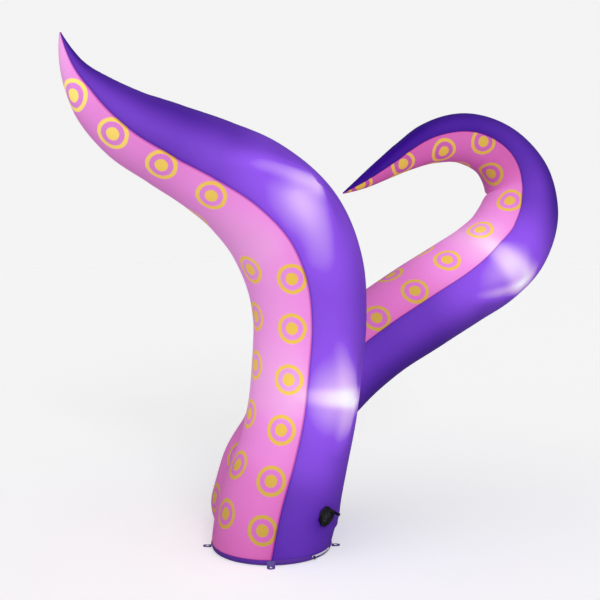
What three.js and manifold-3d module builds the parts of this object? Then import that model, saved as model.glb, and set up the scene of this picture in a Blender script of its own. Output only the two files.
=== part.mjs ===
// A blown-up decoration: two tentacles that rise from one base. Each tentacle is a tapered
// tube of three cloth panels, a belly gusset on the inside of its bend and two side panels
// that meet along its back. The tubes are joined where they cross, above one ground panel.
// Millimetres, +Z up. The origin is on the ground at the centre of the front tube's foot.

import * as THREE from "three";
import { mergeVertices } from "three/addons/utils/BufferGeometryUtils.js";
import Module from "manifold-3d";

const wasm = await Module();
wasm.setup();

// ---- Driving sizes ----

const CLOTH = 1.0; // thickness of a tentacle panel
const GROUND_CLOTH = 2.0; // thickness of the ground panel
const GAP = 0.3; // between pieces that are sewn or fitted together
const HEM_HEIGHT = 28; // ground panel's turned-up edge
const LEVEL_LENGTH = 320; // the sections turn from level to square over this length

const BELLY_HALF_ANGLE = 68; // degrees of the girth on each side of the belly's middle
const THIN_BELLY_EXTRA = 14; // the belly takes this many degrees more near the tip
const THIN_FROM_RADIUS = 200;
const THIN_TO_RADIUS = 100;
const BACK_SEAM_ANGLE = 180;
const BELLY_FACETS = 7;
const SIDE_FACETS = 6;

// Sections from the foot to the tip. Centre, tube radius, and the belly's turn about the
// tube towards the near side, in degrees.
const SECTION_COLUMNS = ["x", "y", "z", "radius", "twist"];
const FRONT_TENTACLE = namedRows(SECTION_COLUMNS, [
  [-5, 0, HEM_HEIGHT, 294, 0],
  [5, 0, 80, 297, 0],
  [40, 0, 225, 296, 0],
  [110, 0, 445, 274, 0],
  [160, 0, 660, 270, 0],
  [185, 0, 880, 272, 0],
  [200, 0, 1125, 279, 0],
  [170, 0, 1345, 292, 0],
  [70, 0, 1560, 292, 0],
  [-120, 0, 1740, 262, 0],
  [-300, 0, 1840, 227, 0],
  [-515, 0, 1935, 193, 0],
  [-690, 0, 2015, 164, 0],
  [-845, 0, 2135, 114, 0],
  [-930, 0, 2245, 60, 0],
  [-968, 0, 2335, 27, 0],
  [-985, 0, 2400, 4, 0],
]);
const REAR_TENTACLE = namedRows(SECTION_COLUMNS, [
  [155, 325, HEM_HEIGHT, 325, 0],
  [150, 325, 120, 340, 0],
  [150, 315, 285, 296, 0],
  [215, 305, 455, 260, 0],
  [290, 295, 630, 252, 0],
  [455, 295, 790, 246, 0],
  [725, 305, 970, 238, 0],
  [990, 320, 1110, 247, 0],
  [1270, 335, 1250, 250, -2],
  [1470, 355, 1350, 254, -10],
  [1635, 385, 1470, 250, -13],
  [1750, 425, 1665, 228, -12],
  [1755, 455, 1830, 200, -5],
  [1650, 475, 1985, 170, 8],
  [1405, 485, 2078, 145, 22],
  [1175, 485, 2043, 118, 28],
  [1005, 475, 1966, 87, 26],
  [880, 465, 1898, 66, 18],
  [725, 455, 1810, 36, 15],
  [600, 445, 1748, 4, 15],
]);
const FRONT_SECTIONS = 30;
const REAR_SECTIONS = 38;

// Half section of the foot's turned-up edge: how far in from the hem radius, at each height
const FOOT_PROFILE = namedRows(["inset", "height"], [
  [12, 0],
  [4, 7],
  [1, 18],
  [0, HEM_HEIGHT - GAP],
]);
const FOOT_FACETS = 48;
const FOOT_FACET_ANGLE = 360 / FOOT_FACETS;

const BLOWER = {
  height: 197, // of its centre above the ground
  bearing: 116.5, // degrees round the tube from the belly's middle
  droop: 21, // its mouth points down by this many degrees
  collarRadius: 46,
  bodyRadius: 42,
  mouthRadius: 38,
  boreRadius: 27,
  front: 15, // reach outside the cloth
  collarDepth: 30, // reach of the collar inside the cloth
  bodyDepth: 120,
  guardDepth: 3, // guard's face behind the rim
  guardThickness: 2,
  motorDepth: 8,
  facets: 24,
};
const GUARD_RINGS = [17, 28];
const GUARD_RING_WIDTH = 2.4;
const GUARD_HUB_RADIUS = 8;
const GUARD_SPOKES = 6;
const SPOKE_WIDTH = 3;
const CLIP = { width: 15, reach: 29, thickness: 5, bearing: 25 };

// The zip lies on whole facets of the front foot, counted from the belly's middle
const ZIP = { firstFacet: 14, facets: 4, heights: [14, 18, 22.5], thickness: 1.2 };
const SLIDER = {
  length: 12,
  height: 7,
  depth: 4,
  offset: 10, // from the middle of the zip's first facet towards its open end
  pullLength: 15,
  pullWidth: 5,
  pullThickness: 1.5,
};

// Each ground tab is sewn flat to one facet of a foot, counted from +X
const TAB = { width: 38, thickness: 1.5, reach: 43, top: 25, eyeletAt: 21.5, bend: 3, hem: 9 };
const TABS = namedRows(["name", "foot", "facet"], [
  ["left", "front", 21],
  ["front", "front", 33],
  ["right", "front", 45],
  ["back", "rear", 3],
]);
const EYELET = { hole: 6, barrel: 7, flange: 11, flangeThickness: 0.8, facets: 16 };

const UP = new THREE.Vector3(0, 0, 1);
const FAR = new THREE.Vector3(0, 1, 0);

const FINISH = {
  belly: { color: 0xe391d6, roughness: 0.55, metalness: 0 },
  purple: { color: 0x7f4bd6, roughness: 0.5, metalness: 0 },
  tape: { color: 0xf0eef5, roughness: 0.7, metalness: 0 },
  black: { color: 0x121214, roughness: 0.5, metalness: 0 },
  motor: { color: 0x2a2a2e, roughness: 0.4, metalness: 0.8 },
  eyelet: { color: 0xd9d9de, roughness: 0.25, metalness: 1 },
  tab: { color: 0x5b4a9a, roughness: 0.8, metalness: 0 },
};

// ---- Small helpers ----

function namedRows(names, table) {
  return table.map((values) => Object.fromEntries(names.map((name, i) => [name, values[i]])));
}

function radians(degrees) {
  return THREE.MathUtils.degToRad(degrees);
}

function toSolid(geometry) {
  const bare = geometry.clone();
  bare.deleteAttribute("normal");
  bare.deleteAttribute("uv");
  const merged = mergeVertices(bare, 1e-4);
  return new wasm.Manifold(new wasm.Mesh({
    numProp: 3,
    vertProperties: new Float32Array(merged.attributes.position.array),
    triVerts: new Uint32Array(merged.index.array),
  }));
}

function toGeometry(solid) {
  const mesh = solid.getMesh();
  const geometry = new THREE.BufferGeometry();
  geometry.setAttribute("position", new THREE.BufferAttribute(mesh.vertProperties.slice(), 3));
  geometry.setIndex(new THREE.BufferAttribute(mesh.triVerts.slice(), 1));
  return geometry;
}

function largestPiece(solid) {
  const pieces = solid.decompose();
  return pieces.reduce((best, piece) => (piece.volume() > best.volume() ? piece : best));
}

function joined(solids) {
  return solids.reduce((sum, solid) => sum.add(solid));
}

function named(name, geometry, finish) {
  const mesh = new THREE.Mesh(geometry, new THREE.MeshStandardMaterial(finish));
  mesh.name = name;
  return mesh;
}

// A closed thin sheet from two matching grids of points: rows run along it, columns across
function closedSheet(rows, columns, outerPoint, innerPoint) {
  const stride = columns + 1;
  const layer = (rows + 1) * stride;
  const positions = [];
  for (const pointAt of [outerPoint, innerPoint]) {
    for (let i = 0; i <= rows; i += 1) {
      for (let j = 0; j <= columns; j += 1) {
        positions.push(...pointAt(i, j).toArray());
      }
    }
  }
  const index = [];
  const quad = (a, b, c, d) => index.push(a, b, c, a, c, d);
  const outer = (i, j) => i * stride + j;
  const inner = (i, j) => layer + i * stride + j;
  for (let i = 0; i < rows; i += 1) {
    for (let j = 0; j < columns; j += 1) {
      quad(outer(i, j), outer(i, j + 1), outer(i + 1, j + 1), outer(i + 1, j));
      quad(inner(i, j), inner(i + 1, j), inner(i + 1, j + 1), inner(i, j + 1));
    }
    quad(outer(i, 0), outer(i + 1, 0), inner(i + 1, 0), inner(i, 0));
    quad(outer(i, columns), inner(i, columns), inner(i + 1, columns), outer(i + 1, columns));
  }
  for (let j = 0; j < columns; j += 1) {
    quad(outer(0, j), inner(0, j), inner(0, j + 1), outer(0, j + 1));
    quad(outer(rows, j), outer(rows, j + 1), inner(rows, j + 1), inner(rows, j));
  }
  const geometry = new THREE.BufferGeometry();
  geometry.setAttribute("position", new THREE.Float32BufferAttribute(positions, 3));
  geometry.setIndex(index);
  return geometry;
}

// ---- Tentacle tubes ----

// A smooth curve through a column of values: a cubic between each pair of rows, whose slope
// at a row is that of the parabola through the row and its two neighbours
function smoothColumn(lengths, values) {
  const steps = lengths.slice(1).map((length, i) => length - lengths[i]);
  const rises = steps.map((step, i) => (values[i + 1] - values[i]) / step);
  const slopes = values.map((_, i) => {
    if (i === 0 || i === steps.length) {
      return null;
    }
    return (rises[i - 1] * steps[i] + rises[i] * steps[i - 1]) / (steps[i] + steps[i - 1]);
  });
  slopes[0] = 2 * rises[0] - slopes[1];
  slopes[steps.length] = 2 * rises.at(-1) - slopes[steps.length - 1];
  return (along) => {
    const after = lengths.findIndex((length, i) => i > 0 && length >= along);
    const k = (after < 0 ? steps.length : after) - 1;
    const t = (along - lengths[k]) / steps[k];
    const s = 1 - t;
    return values[k] * (1 + 2 * t) * s * s + values[k + 1] * t * t * (3 - 2 * t)
      + steps[k] * t * s * (slopes[k] * s - slopes[k + 1] * t);
  };
}

// Even sections along a tentacle, each with its centre, radius and two directions square to
// the tube: towards the belly's middle and towards the near side
function sectionsOf(rows, count) {
  const points = rows.map((row) => new THREE.Vector3(row.x, row.y, row.z));
  const lengths = points.map(() => 0);
  for (let i = 1; i < points.length; i += 1) {
    lengths[i] = lengths[i - 1] + points[i].distanceTo(points[i - 1]);
  }
  const column = {};
  for (const name of SECTION_COLUMNS) {
    column[name] = smoothColumn(lengths, rows.map((row) => row[name]));
  }
  const total = lengths.at(-1);
  const centreAt = (along) => new THREE.Vector3(column.x(along), column.y(along), column.z(along));
  return Array.from({ length: count + 1 }, (_, i) => {
    const along = (total * i) / count;
    const ahead = centreAt(Math.min(along + 1, total));
    const direction = ahead.sub(centreAt(Math.max(along - 1, 0))).normalize();
    const turned = THREE.MathUtils.smoothstep(along, 0, LEVEL_LENGTH);
    direction.lerpVectors(UP, direction.clone(), turned).normalize();
    const far = FAR.clone().addScaledVector(direction, -direction.y).normalize();
    const belly = direction.clone().cross(far);
    const near = far.clone().negate();
    const twist = radians(column.twist(along));
    return {
      centre: centreAt(along),
      radius: column.radius(along),
      belly: belly.clone().multiplyScalar(Math.cos(twist)).addScaledVector(near, Math.sin(twist)),
      near: near.clone().multiplyScalar(Math.cos(twist)).addScaledVector(belly, -Math.sin(twist)),
    };
  });
}

function pointOn(section, degrees, inset) {
  const reach = section.radius - inset;
  return section.centre.clone()
    .addScaledVector(section.belly, reach * Math.cos(radians(degrees)))
    .addScaledVector(section.near, reach * Math.sin(radians(degrees)));
}

function bellyEdge(section) {
  const thinness = (THIN_FROM_RADIUS - section.radius) / (THIN_FROM_RADIUS - THIN_TO_RADIUS);
  return BELLY_HALF_ANGLE + THIN_BELLY_EXTRA * THREE.MathUtils.clamp(thinness, 0, 1);
}

// One panel between two seams; each seam keeps half of the gap
function panel(sections, fromAngle, toAngle, facets) {
  const angleAt = (section, j) => {
    const halfGap = THREE.MathUtils.radToDeg(GAP / 2 / section.radius);
    const from = fromAngle(section) + halfGap;
    const to = toAngle(section) - halfGap;
    return from + ((to - from) * j) / facets;
  };
  const pointAt = (inset) => (i, j) => pointOn(sections[i], angleAt(sections[i], j), inset);
  return closedSheet(sections.length - 1, facets, pointAt(0), pointAt(CLOTH));
}

const PANELS = [
  { name: "belly", finish: "belly", facets: BELLY_FACETS, from: (s) => -bellyEdge(s), to: bellyEdge },
  { name: "side_near", finish: "purple", facets: SIDE_FACETS, from: bellyEdge, to: () => BACK_SEAM_ANGLE },
  {
    name: "side_far",
    finish: "purple",
    facets: SIDE_FACETS,
    from: () => BACK_SEAM_ANGLE,
    to: (s) => 360 - bellyEdge(s),
  },
];

// The whole tube as a solid that stands proud by the gap, to trim the other tentacle
function tubeSolid(sections) {
  const facets = 2 * SIDE_FACETS + BELLY_FACETS;
  const foot = { ...sections[0], centre: sections[0].centre.clone().setZ(0) };
  const rings = [foot, ...sections];
  const positions = [];
  for (const section of rings) {
    for (const { from, to, facets: count } of PANELS) {
      for (let j = 0; j < count; j += 1) {
        const angle = from(section) + ((to(section) - from(section)) * j) / count;
        positions.push(...pointOn(section, angle, -GAP).toArray());
      }
    }
  }
  const bottom = rings.length * facets;
  const top = bottom + 1;
  positions.push(...rings[0].centre.toArray(), ...rings.at(-1).centre.toArray());
  const index = [];
  for (let j = 0; j < facets; j += 1) {
    const next = (j + 1) % facets;
    for (let i = 0; i < rings.length - 1; i += 1) {
      const a = i * facets;
      const b = a + facets;
      index.push(a + j, a + next, b + next, a + j, b + next, b + j);
    }
    const last = (rings.length - 1) * facets;
    index.push(bottom, next, j, top, last + j, last + next);
  }
  const geometry = new THREE.BufferGeometry();
  geometry.setAttribute("position", new THREE.Float32BufferAttribute(positions, 3));
  geometry.setIndex(index);
  return toSolid(geometry);
}

// ---- Ground panel ----

function footSolid(row, inset, lift) {
  const profile = FOOT_PROFILE.map(({ inset: pulledIn, height }) => (
    new THREE.Vector2(row.radius - pulledIn - inset, Math.max(height, lift))
  ));
  const top = FOOT_PROFILE.at(-1).height + lift;
  const outline = [
    new THREE.Vector2(0, lift),
    ...profile,
    new THREE.Vector2(row.radius - inset, top),
    new THREE.Vector2(0, top),
  ];
  const distinct = outline.filter((point, i) => i === 0 || point.distanceTo(outline[i - 1]) > 0.01);
  const geometry = new THREE.LatheGeometry(distinct, FOOT_FACETS);
  geometry.rotateX(Math.PI / 2);
  geometry.rotateZ(radians(FOOT_FACET_ANGLE / 2));
  geometry.translate(row.x, row.y, 0);
  return toSolid(geometry);
}

function groundPanel(feet) {
  const outside = joined(feet.map((row) => footSolid(row, 0, 0)));
  const inside = joined(feet.map((row) => footSolid(row, GROUND_CLOTH, GROUND_CLOTH)));
  return largestPiece(outside.subtract(inside));
}

// ---- Blower ----

function lathed(profile, facets) {
  const geometry = new THREE.LatheGeometry(profile.map(([r, h]) => new THREE.Vector2(r, h)), facets);
  geometry.rotateX(Math.PI / 2);
  return geometry;
}

function box(width, depth, height, x, y, z) {
  return new THREE.BoxGeometry(width, depth, height).translate(x, y, z);
}

// All blower pieces are made with their axis on +Z, mouth up, and the cloth at height 0
function blowerHousing() {
  const { collarRadius, bodyRadius, mouthRadius, boreRadius, front, collarDepth, bodyDepth } = BLOWER;
  const floor = front - BLOWER.motorDepth;
  return lathed([
    [0, -bodyDepth],
    [bodyRadius - 4, -bodyDepth],
    [bodyRadius, -bodyDepth + 4],
    [bodyRadius, -collarDepth - 3],
    [collarRadius, -collarDepth],
    [collarRadius, front - 3],
    [collarRadius - 2, front],
    [mouthRadius, front],
    [mouthRadius, floor],
    [boreRadius, floor],
    [boreRadius, -bodyDepth + 12],
    [0, -bodyDepth + 12],
  ], BLOWER.facets);
}

function blowerMotor() {
  const radius = BLOWER.boreRadius - GAP;
  const low = -BLOWER.bodyDepth + 12 + GAP;
  const high = BLOWER.front - BLOWER.motorDepth;
  return lathed([[0, low], [radius, low], [radius, high - 2], [radius - 2, high], [0, high]], 24);
}

function blowerGuard() {
  const top = BLOWER.front - BLOWER.guardDepth;
  const low = top - BLOWER.guardThickness;
  const ring = (inner, outer) => toSolid(lathed(
    [[inner, low], [outer, low], [outer, top], [inner, top], [inner, low]],
    BLOWER.facets,
  ));
  const outer = BLOWER.mouthRadius - GAP;
  const hub = toSolid(lathed([[0, low], [GUARD_HUB_RADIUS, low], [GUARD_HUB_RADIUS, top], [0, top]], 16));
  const rings = [...GUARD_RINGS, outer].map((r) => ring(r - GUARD_RING_WIDTH, r));
  const spokes = Array.from({ length: GUARD_SPOKES }, (_, i) => {
    const from = GUARD_HUB_RADIUS - 2;
    const to = outer - GUARD_RING_WIDTH / 2;
    const spoke = box(to - from, SPOKE_WIDTH, BLOWER.guardThickness, (from + to) / 2, 0, (top + low) / 2);
    return toSolid(spoke.rotateZ((2 * Math.PI * i) / GUARD_SPOKES));
  });
  return toGeometry(joined([hub, ...rings, ...spokes]));
}

function blowerClip() {
  const { width, reach, thickness, bearing } = CLIP;
  const outline = new THREE.Shape([
    new THREE.Vector2(0, -10),
    new THREE.Vector2(thickness, -10),
    new THREE.Vector2(thickness, reach - 8),
    new THREE.Vector2(thickness + 6, reach - 3),
    new THREE.Vector2(thickness + 4, reach),
    new THREE.Vector2(0, reach - 5),
  ]);
  const geometry = new THREE.ExtrudeGeometry(outline, { depth: width, bevelEnabled: false });
  geometry.translate(BLOWER.collarRadius * Math.cos(radians(180 / BLOWER.facets)) + GAP + 0.4, 0, -width / 2);
  geometry.rotateX(Math.PI / 2);
  geometry.translate(0, 0, BLOWER.front - 4);
  return geometry.rotateZ(radians(bearing));
}

function blowerPlace(sections) {
  const higher = sections.findIndex((section) => section.centre.z > BLOWER.height);
  const [below, above] = [sections[higher - 1], sections[higher]];
  const share = (BLOWER.height - below.centre.z) / (above.centre.z - below.centre.z);
  const section = {
    centre: below.centre.clone().lerp(above.centre, share),
    radius: THREE.MathUtils.lerp(below.radius, above.radius, share),
    belly: new THREE.Vector3(-1, 0, 0),
    near: new THREE.Vector3(0, -1, 0),
  };
  const centre = pointOn(section, BLOWER.bearing, 0);
  const outward = centre.clone().sub(section.centre).normalize();
  const droop = radians(BLOWER.droop);
  const axis = outward.multiplyScalar(Math.cos(droop)).addScaledVector(UP, -Math.sin(droop));
  const right = UP.clone().cross(axis).normalize();
  const upward = axis.clone().cross(right);
  return new THREE.Matrix4().makeBasis(right, upward, axis).setPosition(centre);
}

function blowerHole(place) {
  const radius = (BLOWER.collarRadius + GAP) / Math.cos(radians(180 / BLOWER.facets));
  const cutter = new THREE.CylinderGeometry(radius, radius, 2 * BLOWER.bodyDepth, BLOWER.facets);
  return toSolid(cutter.rotateX(Math.PI / 2).applyMatrix4(place));
}

// ---- Zip in the base seam ----

function footRadiusAt(row, height) {
  const above = FOOT_PROFILE.findIndex((step) => step.height >= height);
  const [low, high] = [FOOT_PROFILE[above - 1], FOOT_PROFILE[above]];
  const share = (height - low.height) / (high.height - low.height);
  return row.radius - THREE.MathUtils.lerp(low.inset, high.inset, share);
}

function zipPoint(degrees, height, lift) {
  const foot = FRONT_TENTACLE[0];
  const reach = footRadiusAt(foot, height) + lift;
  return new THREE.Vector3(
    foot.x - reach * Math.cos(radians(degrees)),
    foot.y - reach * Math.sin(radians(degrees)),
    height,
  );
}

function zipTape() {
  const pointAt = (lift) => (i, j) => (
    zipPoint((ZIP.firstFacet + 0.5 + j) * FOOT_FACET_ANGLE, ZIP.heights[i], lift)
  );
  const rows = ZIP.heights.length - 1;
  return closedSheet(rows, ZIP.facets, pointAt(GAP + ZIP.thickness), pointAt(GAP));
}

function zipSlider() {
  const { length, height, depth, offset, pullLength, pullWidth, pullThickness } = SLIDER;
  const body = toSolid(box(length, depth, height, 0, 0, 0));
  const pull = toSolid(box(pullWidth, pullThickness, pullLength, 0, depth / 2 - 0.2, -pullLength / 2));
  const geometry = toGeometry(body.add(pull));
  const lift = GAP * 2 + ZIP.thickness + depth / 2;
  const angle = (ZIP.firstFacet + 1) * FOOT_FACET_ANGLE;
  const centre = zipPoint(angle, (ZIP.heights[0] + ZIP.heights.at(-1)) / 2, lift);
  geometry.translate(offset, 0, 0).rotateZ(radians(angle + 90));
  return geometry.translate(centre.x, centre.y, centre.z);
}

// ---- Ground tabs and eyelets ----

function discSolid(radius, low, high, facets, x) {
  const geometry = new THREE.CylinderGeometry(radius, radius, high - low, facets);
  return toSolid(geometry.rotateX(Math.PI / 2).translate(x, 0, (low + high) / 2));
}

// A tab lies flat on the ground and turns up against the foot, and its end is folded over and
// sewn; +X is away from the foot
function groundTab() {
  const { width, thickness, reach, top, eyeletAt, bend, hem } = TAB;
  const side = new THREE.Shape([
    new THREE.Vector2(GAP, top),
    new THREE.Vector2(GAP, bend + 6),
    new THREE.Vector2(bend - 2, thickness),
    new THREE.Vector2(bend + 6, 0),
    new THREE.Vector2(reach, 0),
    new THREE.Vector2(reach, thickness),
    new THREE.Vector2(bend + 7, thickness),
    new THREE.Vector2(bend, thickness + 2),
    new THREE.Vector2(GAP + thickness, bend + 7),
    new THREE.Vector2(GAP + thickness, top),
  ]);
  const strip = new THREE.ExtrudeGeometry(side, { depth: width, bevelEnabled: false });
  const bent = toSolid(strip.translate(0, 0, -width / 2).rotateX(Math.PI / 2));
  const plan = new THREE.Shape();
  plan.moveTo(-1, -width / 2);
  plan.lineTo(reach - width / 2, -width / 2);
  plan.absarc(reach - width / 2, 0, width / 2, -Math.PI / 2, Math.PI / 2);
  plan.lineTo(-1, width / 2);
  const rounded = new THREE.ExtrudeGeometry(plan, { depth: 2 * top, bevelEnabled: false, curveSegments: 8 });
  const outline = toSolid(rounded.translate(0, 0, -top));
  const folded = toSolid(box(hem, width, 2 * thickness, reach - hem / 2, 0, thickness));
  const hole = discSolid(EYELET.barrel + GAP, -top, top, EYELET.facets, eyeletAt);
  return bent.add(folded).intersect(outline).subtract(hole);
}

// Rolled metal eyelet: a barrel through the tab with a flange on top of it
function eyelet() {
  const { hole, barrel, flange, flangeThickness, facets } = EYELET;
  const seat = TAB.thickness + GAP;
  const top = seat + flangeThickness;
  const profile = [
    [hole, 0],
    [barrel, 0],
    [barrel, seat],
    [flange, seat],
    [flange - 1, top],
    [hole, top],
    [hole, 0],
  ];
  return lathed(profile, facets).translate(TAB.eyeletAt, 0, 0);
}

function tabPlace(tab, feet) {
  const foot = feet[tab.foot];
  const bearing = radians(tab.facet * FOOT_FACET_ANGLE);
  const reach = foot.radius * Math.cos(radians(FOOT_FACET_ANGLE / 2));
  const place = new THREE.Group();
  place.position.set(foot.x + reach * Math.cos(bearing), foot.y + reach * Math.sin(bearing), 0);
  place.rotation.z = bearing;
  return place;
}

// ---- Assembly ----

const group = new THREE.Group();
const feet = { front: FRONT_TENTACLE[0], rear: REAR_TENTACLE[0] };
const front = sectionsOf(FRONT_TENTACLE, FRONT_SECTIONS);
const rear = sectionsOf(REAR_TENTACLE, REAR_SECTIONS);
// The loft starts a gap above the ground panel's edge
for (const sections of [front, rear]) {
  sections[0].centre.z = HEM_HEIGHT;
}
const blowerMatrix = blowerPlace(front);
const hole = blowerHole(blowerMatrix);

for (const [end, sections, other] of [["front", front, rear], ["rear", rear, front]]) {
  const trim = tubeSolid(other);
  for (const { name, finish, facets, from, to } of PANELS) {
    let solid = toSolid(panel(sections, from, to, facets)).subtract(trim);
    if (end === "front" && name === "side_near") {
      solid = solid.subtract(hole);
    }
    group.add(named(`${name}_${end}`, toGeometry(largestPiece(solid)), FINISH[finish]));
  }
}

group.add(named("base_panel", toGeometry(groundPanel(Object.values(feet))), FINISH.purple));

const blower = new THREE.Group();
blower.applyMatrix4(blowerMatrix);
blower.add(named("blower_housing", blowerHousing(), FINISH.black));
blower.add(named("blower_motor", blowerMotor(), FINISH.motor));
blower.add(named("blower_guard", blowerGuard(), FINISH.black));
blower.add(named("blower_clip", blowerClip(), FINISH.black));
group.add(blower);

group.add(named("zip_tape", zipTape(), FINISH.tape));
group.add(named("zip_slider", zipSlider(), FINISH.black));

for (const tab of TABS) {
  const place = tabPlace(tab, feet);
  place.add(named(`tie_tab_${tab.name}`, toGeometry(groundTab()), FINISH.tab));
  place.add(named(`eyelet_${tab.name}`, eyelet(), FINISH.eyelet));
  group.add(place);
}

export default group;
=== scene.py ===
"""Looks for a blown-up decoration: two curling tentacles of sewn cloth on one base."""

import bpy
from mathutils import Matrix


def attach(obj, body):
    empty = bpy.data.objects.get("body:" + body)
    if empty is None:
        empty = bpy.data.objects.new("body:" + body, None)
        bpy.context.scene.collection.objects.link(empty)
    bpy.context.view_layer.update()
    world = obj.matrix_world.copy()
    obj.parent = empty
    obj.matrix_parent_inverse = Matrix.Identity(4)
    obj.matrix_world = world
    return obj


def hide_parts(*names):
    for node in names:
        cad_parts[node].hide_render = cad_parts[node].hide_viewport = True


bl_info = {
    "name": "Inflatable Tentacle Decoration",
    "version": (1, 0, 0),
    "blender": (4, 5, 0),
    "location": "View3D > Sidebar > Inflatable",
    "description": "Builds an inflatable decoration's cloth, ground tabs, blower and studio",
    "category": "Object",
}

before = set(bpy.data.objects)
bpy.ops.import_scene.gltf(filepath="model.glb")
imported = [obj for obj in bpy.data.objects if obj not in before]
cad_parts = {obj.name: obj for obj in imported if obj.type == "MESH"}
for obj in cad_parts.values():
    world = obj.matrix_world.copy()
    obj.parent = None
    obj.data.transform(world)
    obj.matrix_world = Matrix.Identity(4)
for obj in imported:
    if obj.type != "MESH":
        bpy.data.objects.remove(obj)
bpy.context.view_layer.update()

import math
from collections import namedtuple

import bmesh
import bpy
from bpy.props import FloatProperty, FloatVectorProperty, PointerProperty
from bpy.types import Operator, Panel, PropertyGroup
from mathutils import Matrix, Vector, noise
from mathutils.bvhtree import BVHTree

MM = 0.001



def table(kind, *rows):
    """Named rows of a table."""
    return [kind(*row) for row in rows]


# ---- Tentacle sizes, in millimetres and degrees, as in the solid model ----

Section = namedtuple("Section", "x y z radius twist")
FRONT_SECTIONS = table(
    Section,
    (-5, 0, 28, 294, 0),
    (5, 0, 80, 297, 0),
    (40, 0, 225, 296, 0),
    (110, 0, 445, 274, 0),
    (160, 0, 660, 270, 0),
    (185, 0, 880, 272, 0),
    (200, 0, 1125, 279, 0),
    (170, 0, 1345, 292, 0),
    (70, 0, 1560, 292, 0),
    (-120, 0, 1740, 262, 0),
    (-300, 0, 1840, 227, 0),
    (-515, 0, 1935, 193, 0),
    (-690, 0, 2015, 164, 0),
    (-845, 0, 2135, 114, 0),
    (-930, 0, 2245, 60, 0),
    (-968, 0, 2335, 27, 0),
    (-985, 0, 2400, 4, 0),
)
REAR_SECTIONS = table(
    Section,
    (155, 325, 28, 325, 0),
    (150, 325, 120, 340, 0),
    (150, 315, 285, 296, 0),
    (215, 305, 455, 260, 0),
    (290, 295, 630, 252, 0),
    (455, 295, 790, 246, 0),
    (725, 305, 970, 238, 0),
    (990, 320, 1110, 247, 0),
    (1270, 335, 1250, 250, -2),
    (1470, 355, 1350, 254, -10),
    (1635, 385, 1470, 250, -13),
    (1750, 425, 1665, 228, -12),
    (1755, 455, 1830, 200, -5),
    (1650, 475, 1985, 170, 8),
    (1405, 485, 2078, 145, 22),
    (1175, 485, 2043, 118, 28),
    (1005, 475, 1966, 87, 26),
    (880, 465, 1898, 66, 18),
    (725, 455, 1810, 36, 15),
    (600, 445, 1748, 4, 15),
)
# From here on, lengths along a tentacle are in metres from the middle of its foot
LEVEL_LENGTH = 0.320  # a tube's lowest sections turn from level to square with it over this
HEM_HEIGHT = 0.028
# The belly reaches this many degrees to each side, and a few more where the tube is thin
BELLY_HALF_ANGLE = 68
THIN_BELLY_EXTRA = 14
THIN_FROM_RADIUS = 0.200
THIN_TO_RADIUS = 0.100

# Printed suckers: how far up the belly each one is, and how far round from its middle
Sucker = namedtuple("Sucker", "along degrees")
FRONT_SUCKERS = table(
    Sucker,
    (0.125, 55), (0.31, 51), (0.567, 47), (0.83, 48), (1.085, 48), (1.375, 55), (2.04, 48),
    (2.304, 50), (2.528, 50), (2.727, 32), (0.15, 11), (0.32, 6), (0.60, -3), (0.87, -1),
    (1.145, -1), (1.505, 15), (2.00, -12), (0.125, -38), (0.31, -42), (0.567, -47), (0.83, -48),
    (1.085, -48), (1.375, -45), (2.06, -60), (2.304, -50), (2.528, -50),
)
REAR_SUCKERS = table(
    Sucker,
    (0.60, 50), (0.88, 50), (1.163, 51), (1.421, 50), (1.699, 38), (2.017, 35), (2.41, 51),
    (3.04, 60), (3.305, 32), (3.578, 52), (3.855, 72), (0.15, -4), (0.30, 16), (0.60, 0), (0.90, 0),
    (1.17, 0), (1.425, 0), (1.69, -12), (2.83, 14), (0.15, -46), (0.40, -48), (0.70, -50),
    (0.98, -50), (1.25, -50), (1.53, -50), (1.83, -42), (2.13, -45), (2.45, -50), (3.08, -40),
    (3.36, -48), (3.62, -50),
)

# Lamps inside the cloth, which are not built: their light is painted on the cloth. Where, how far each
# reaches up, down and round the tube, how bright
Lamp = namedtuple("Lamp", "along degrees up down across strength")
FRONT_LAMPS = table(
    Lamp,
    (0.77, 102, 0.18, 0.22, 0.26, 0.26),
    (1.71, 98, 0.18, 0.15, 0.16, 0.14),
    (1.675, 134, 0.06, 0.05, 0.06, 0.10),
    (0.77, -112, 0.12, 0.08, 0.25, 0.42),
    (1.70, -105, 0.16, 0.16, 0.18, 0.32),
    # The row with a negative strength paints the shade of the blower's body in that light
    (0.175, 114, 0.075, 0.06, 0.085, -0.15),
)
REAR_LAMPS = table(
    Lamp,
    (1.94, 93, 0.27, 0.30, 0.26, 0.21),
    (2.09, 136, 0.16, 0.07, 0.12, 0.27),
    (2.00, -110, 0.14, 0.12, 0.16, 0.35),
    (0.86, 72, 0.12, 0.16, 0.10, 0.22),
)
# Painted streaks of light along stretched cloth, from a tie outwards: where to, how wide, how bright
Streak = namedtuple("Streak", "along degrees to_along to_degrees width strength")
FRONT_STREAKS = table(
    Streak,
    (1.69, 130, 2.10, 95, 0.060, 0.18),
    (1.68, 110, 1.34, 74, 0.100, 0.10),
    (0.755, 142, 0.762, 52, 0.052, 0.23),
    (0.70, 140, 0.74, 128, 0.045, 0.12),
    (0.82, 114, 1.06, 97, 0.065, 0.11),
    (0.70, 122, 0.48, 113, 0.070, 0.14),
    (1.70, -130, 2.04, -94, 0.050, 0.30),
)
REAR_STREAKS = table(
    Streak,
    (2.06, 144, 1.92, 30, 0.086, 0.25),
    (2.02, 138, 1.68, 97, 0.048, 0.24),
    (2.03, -130, 1.80, -98, 0.040, 0.25),
)
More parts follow.
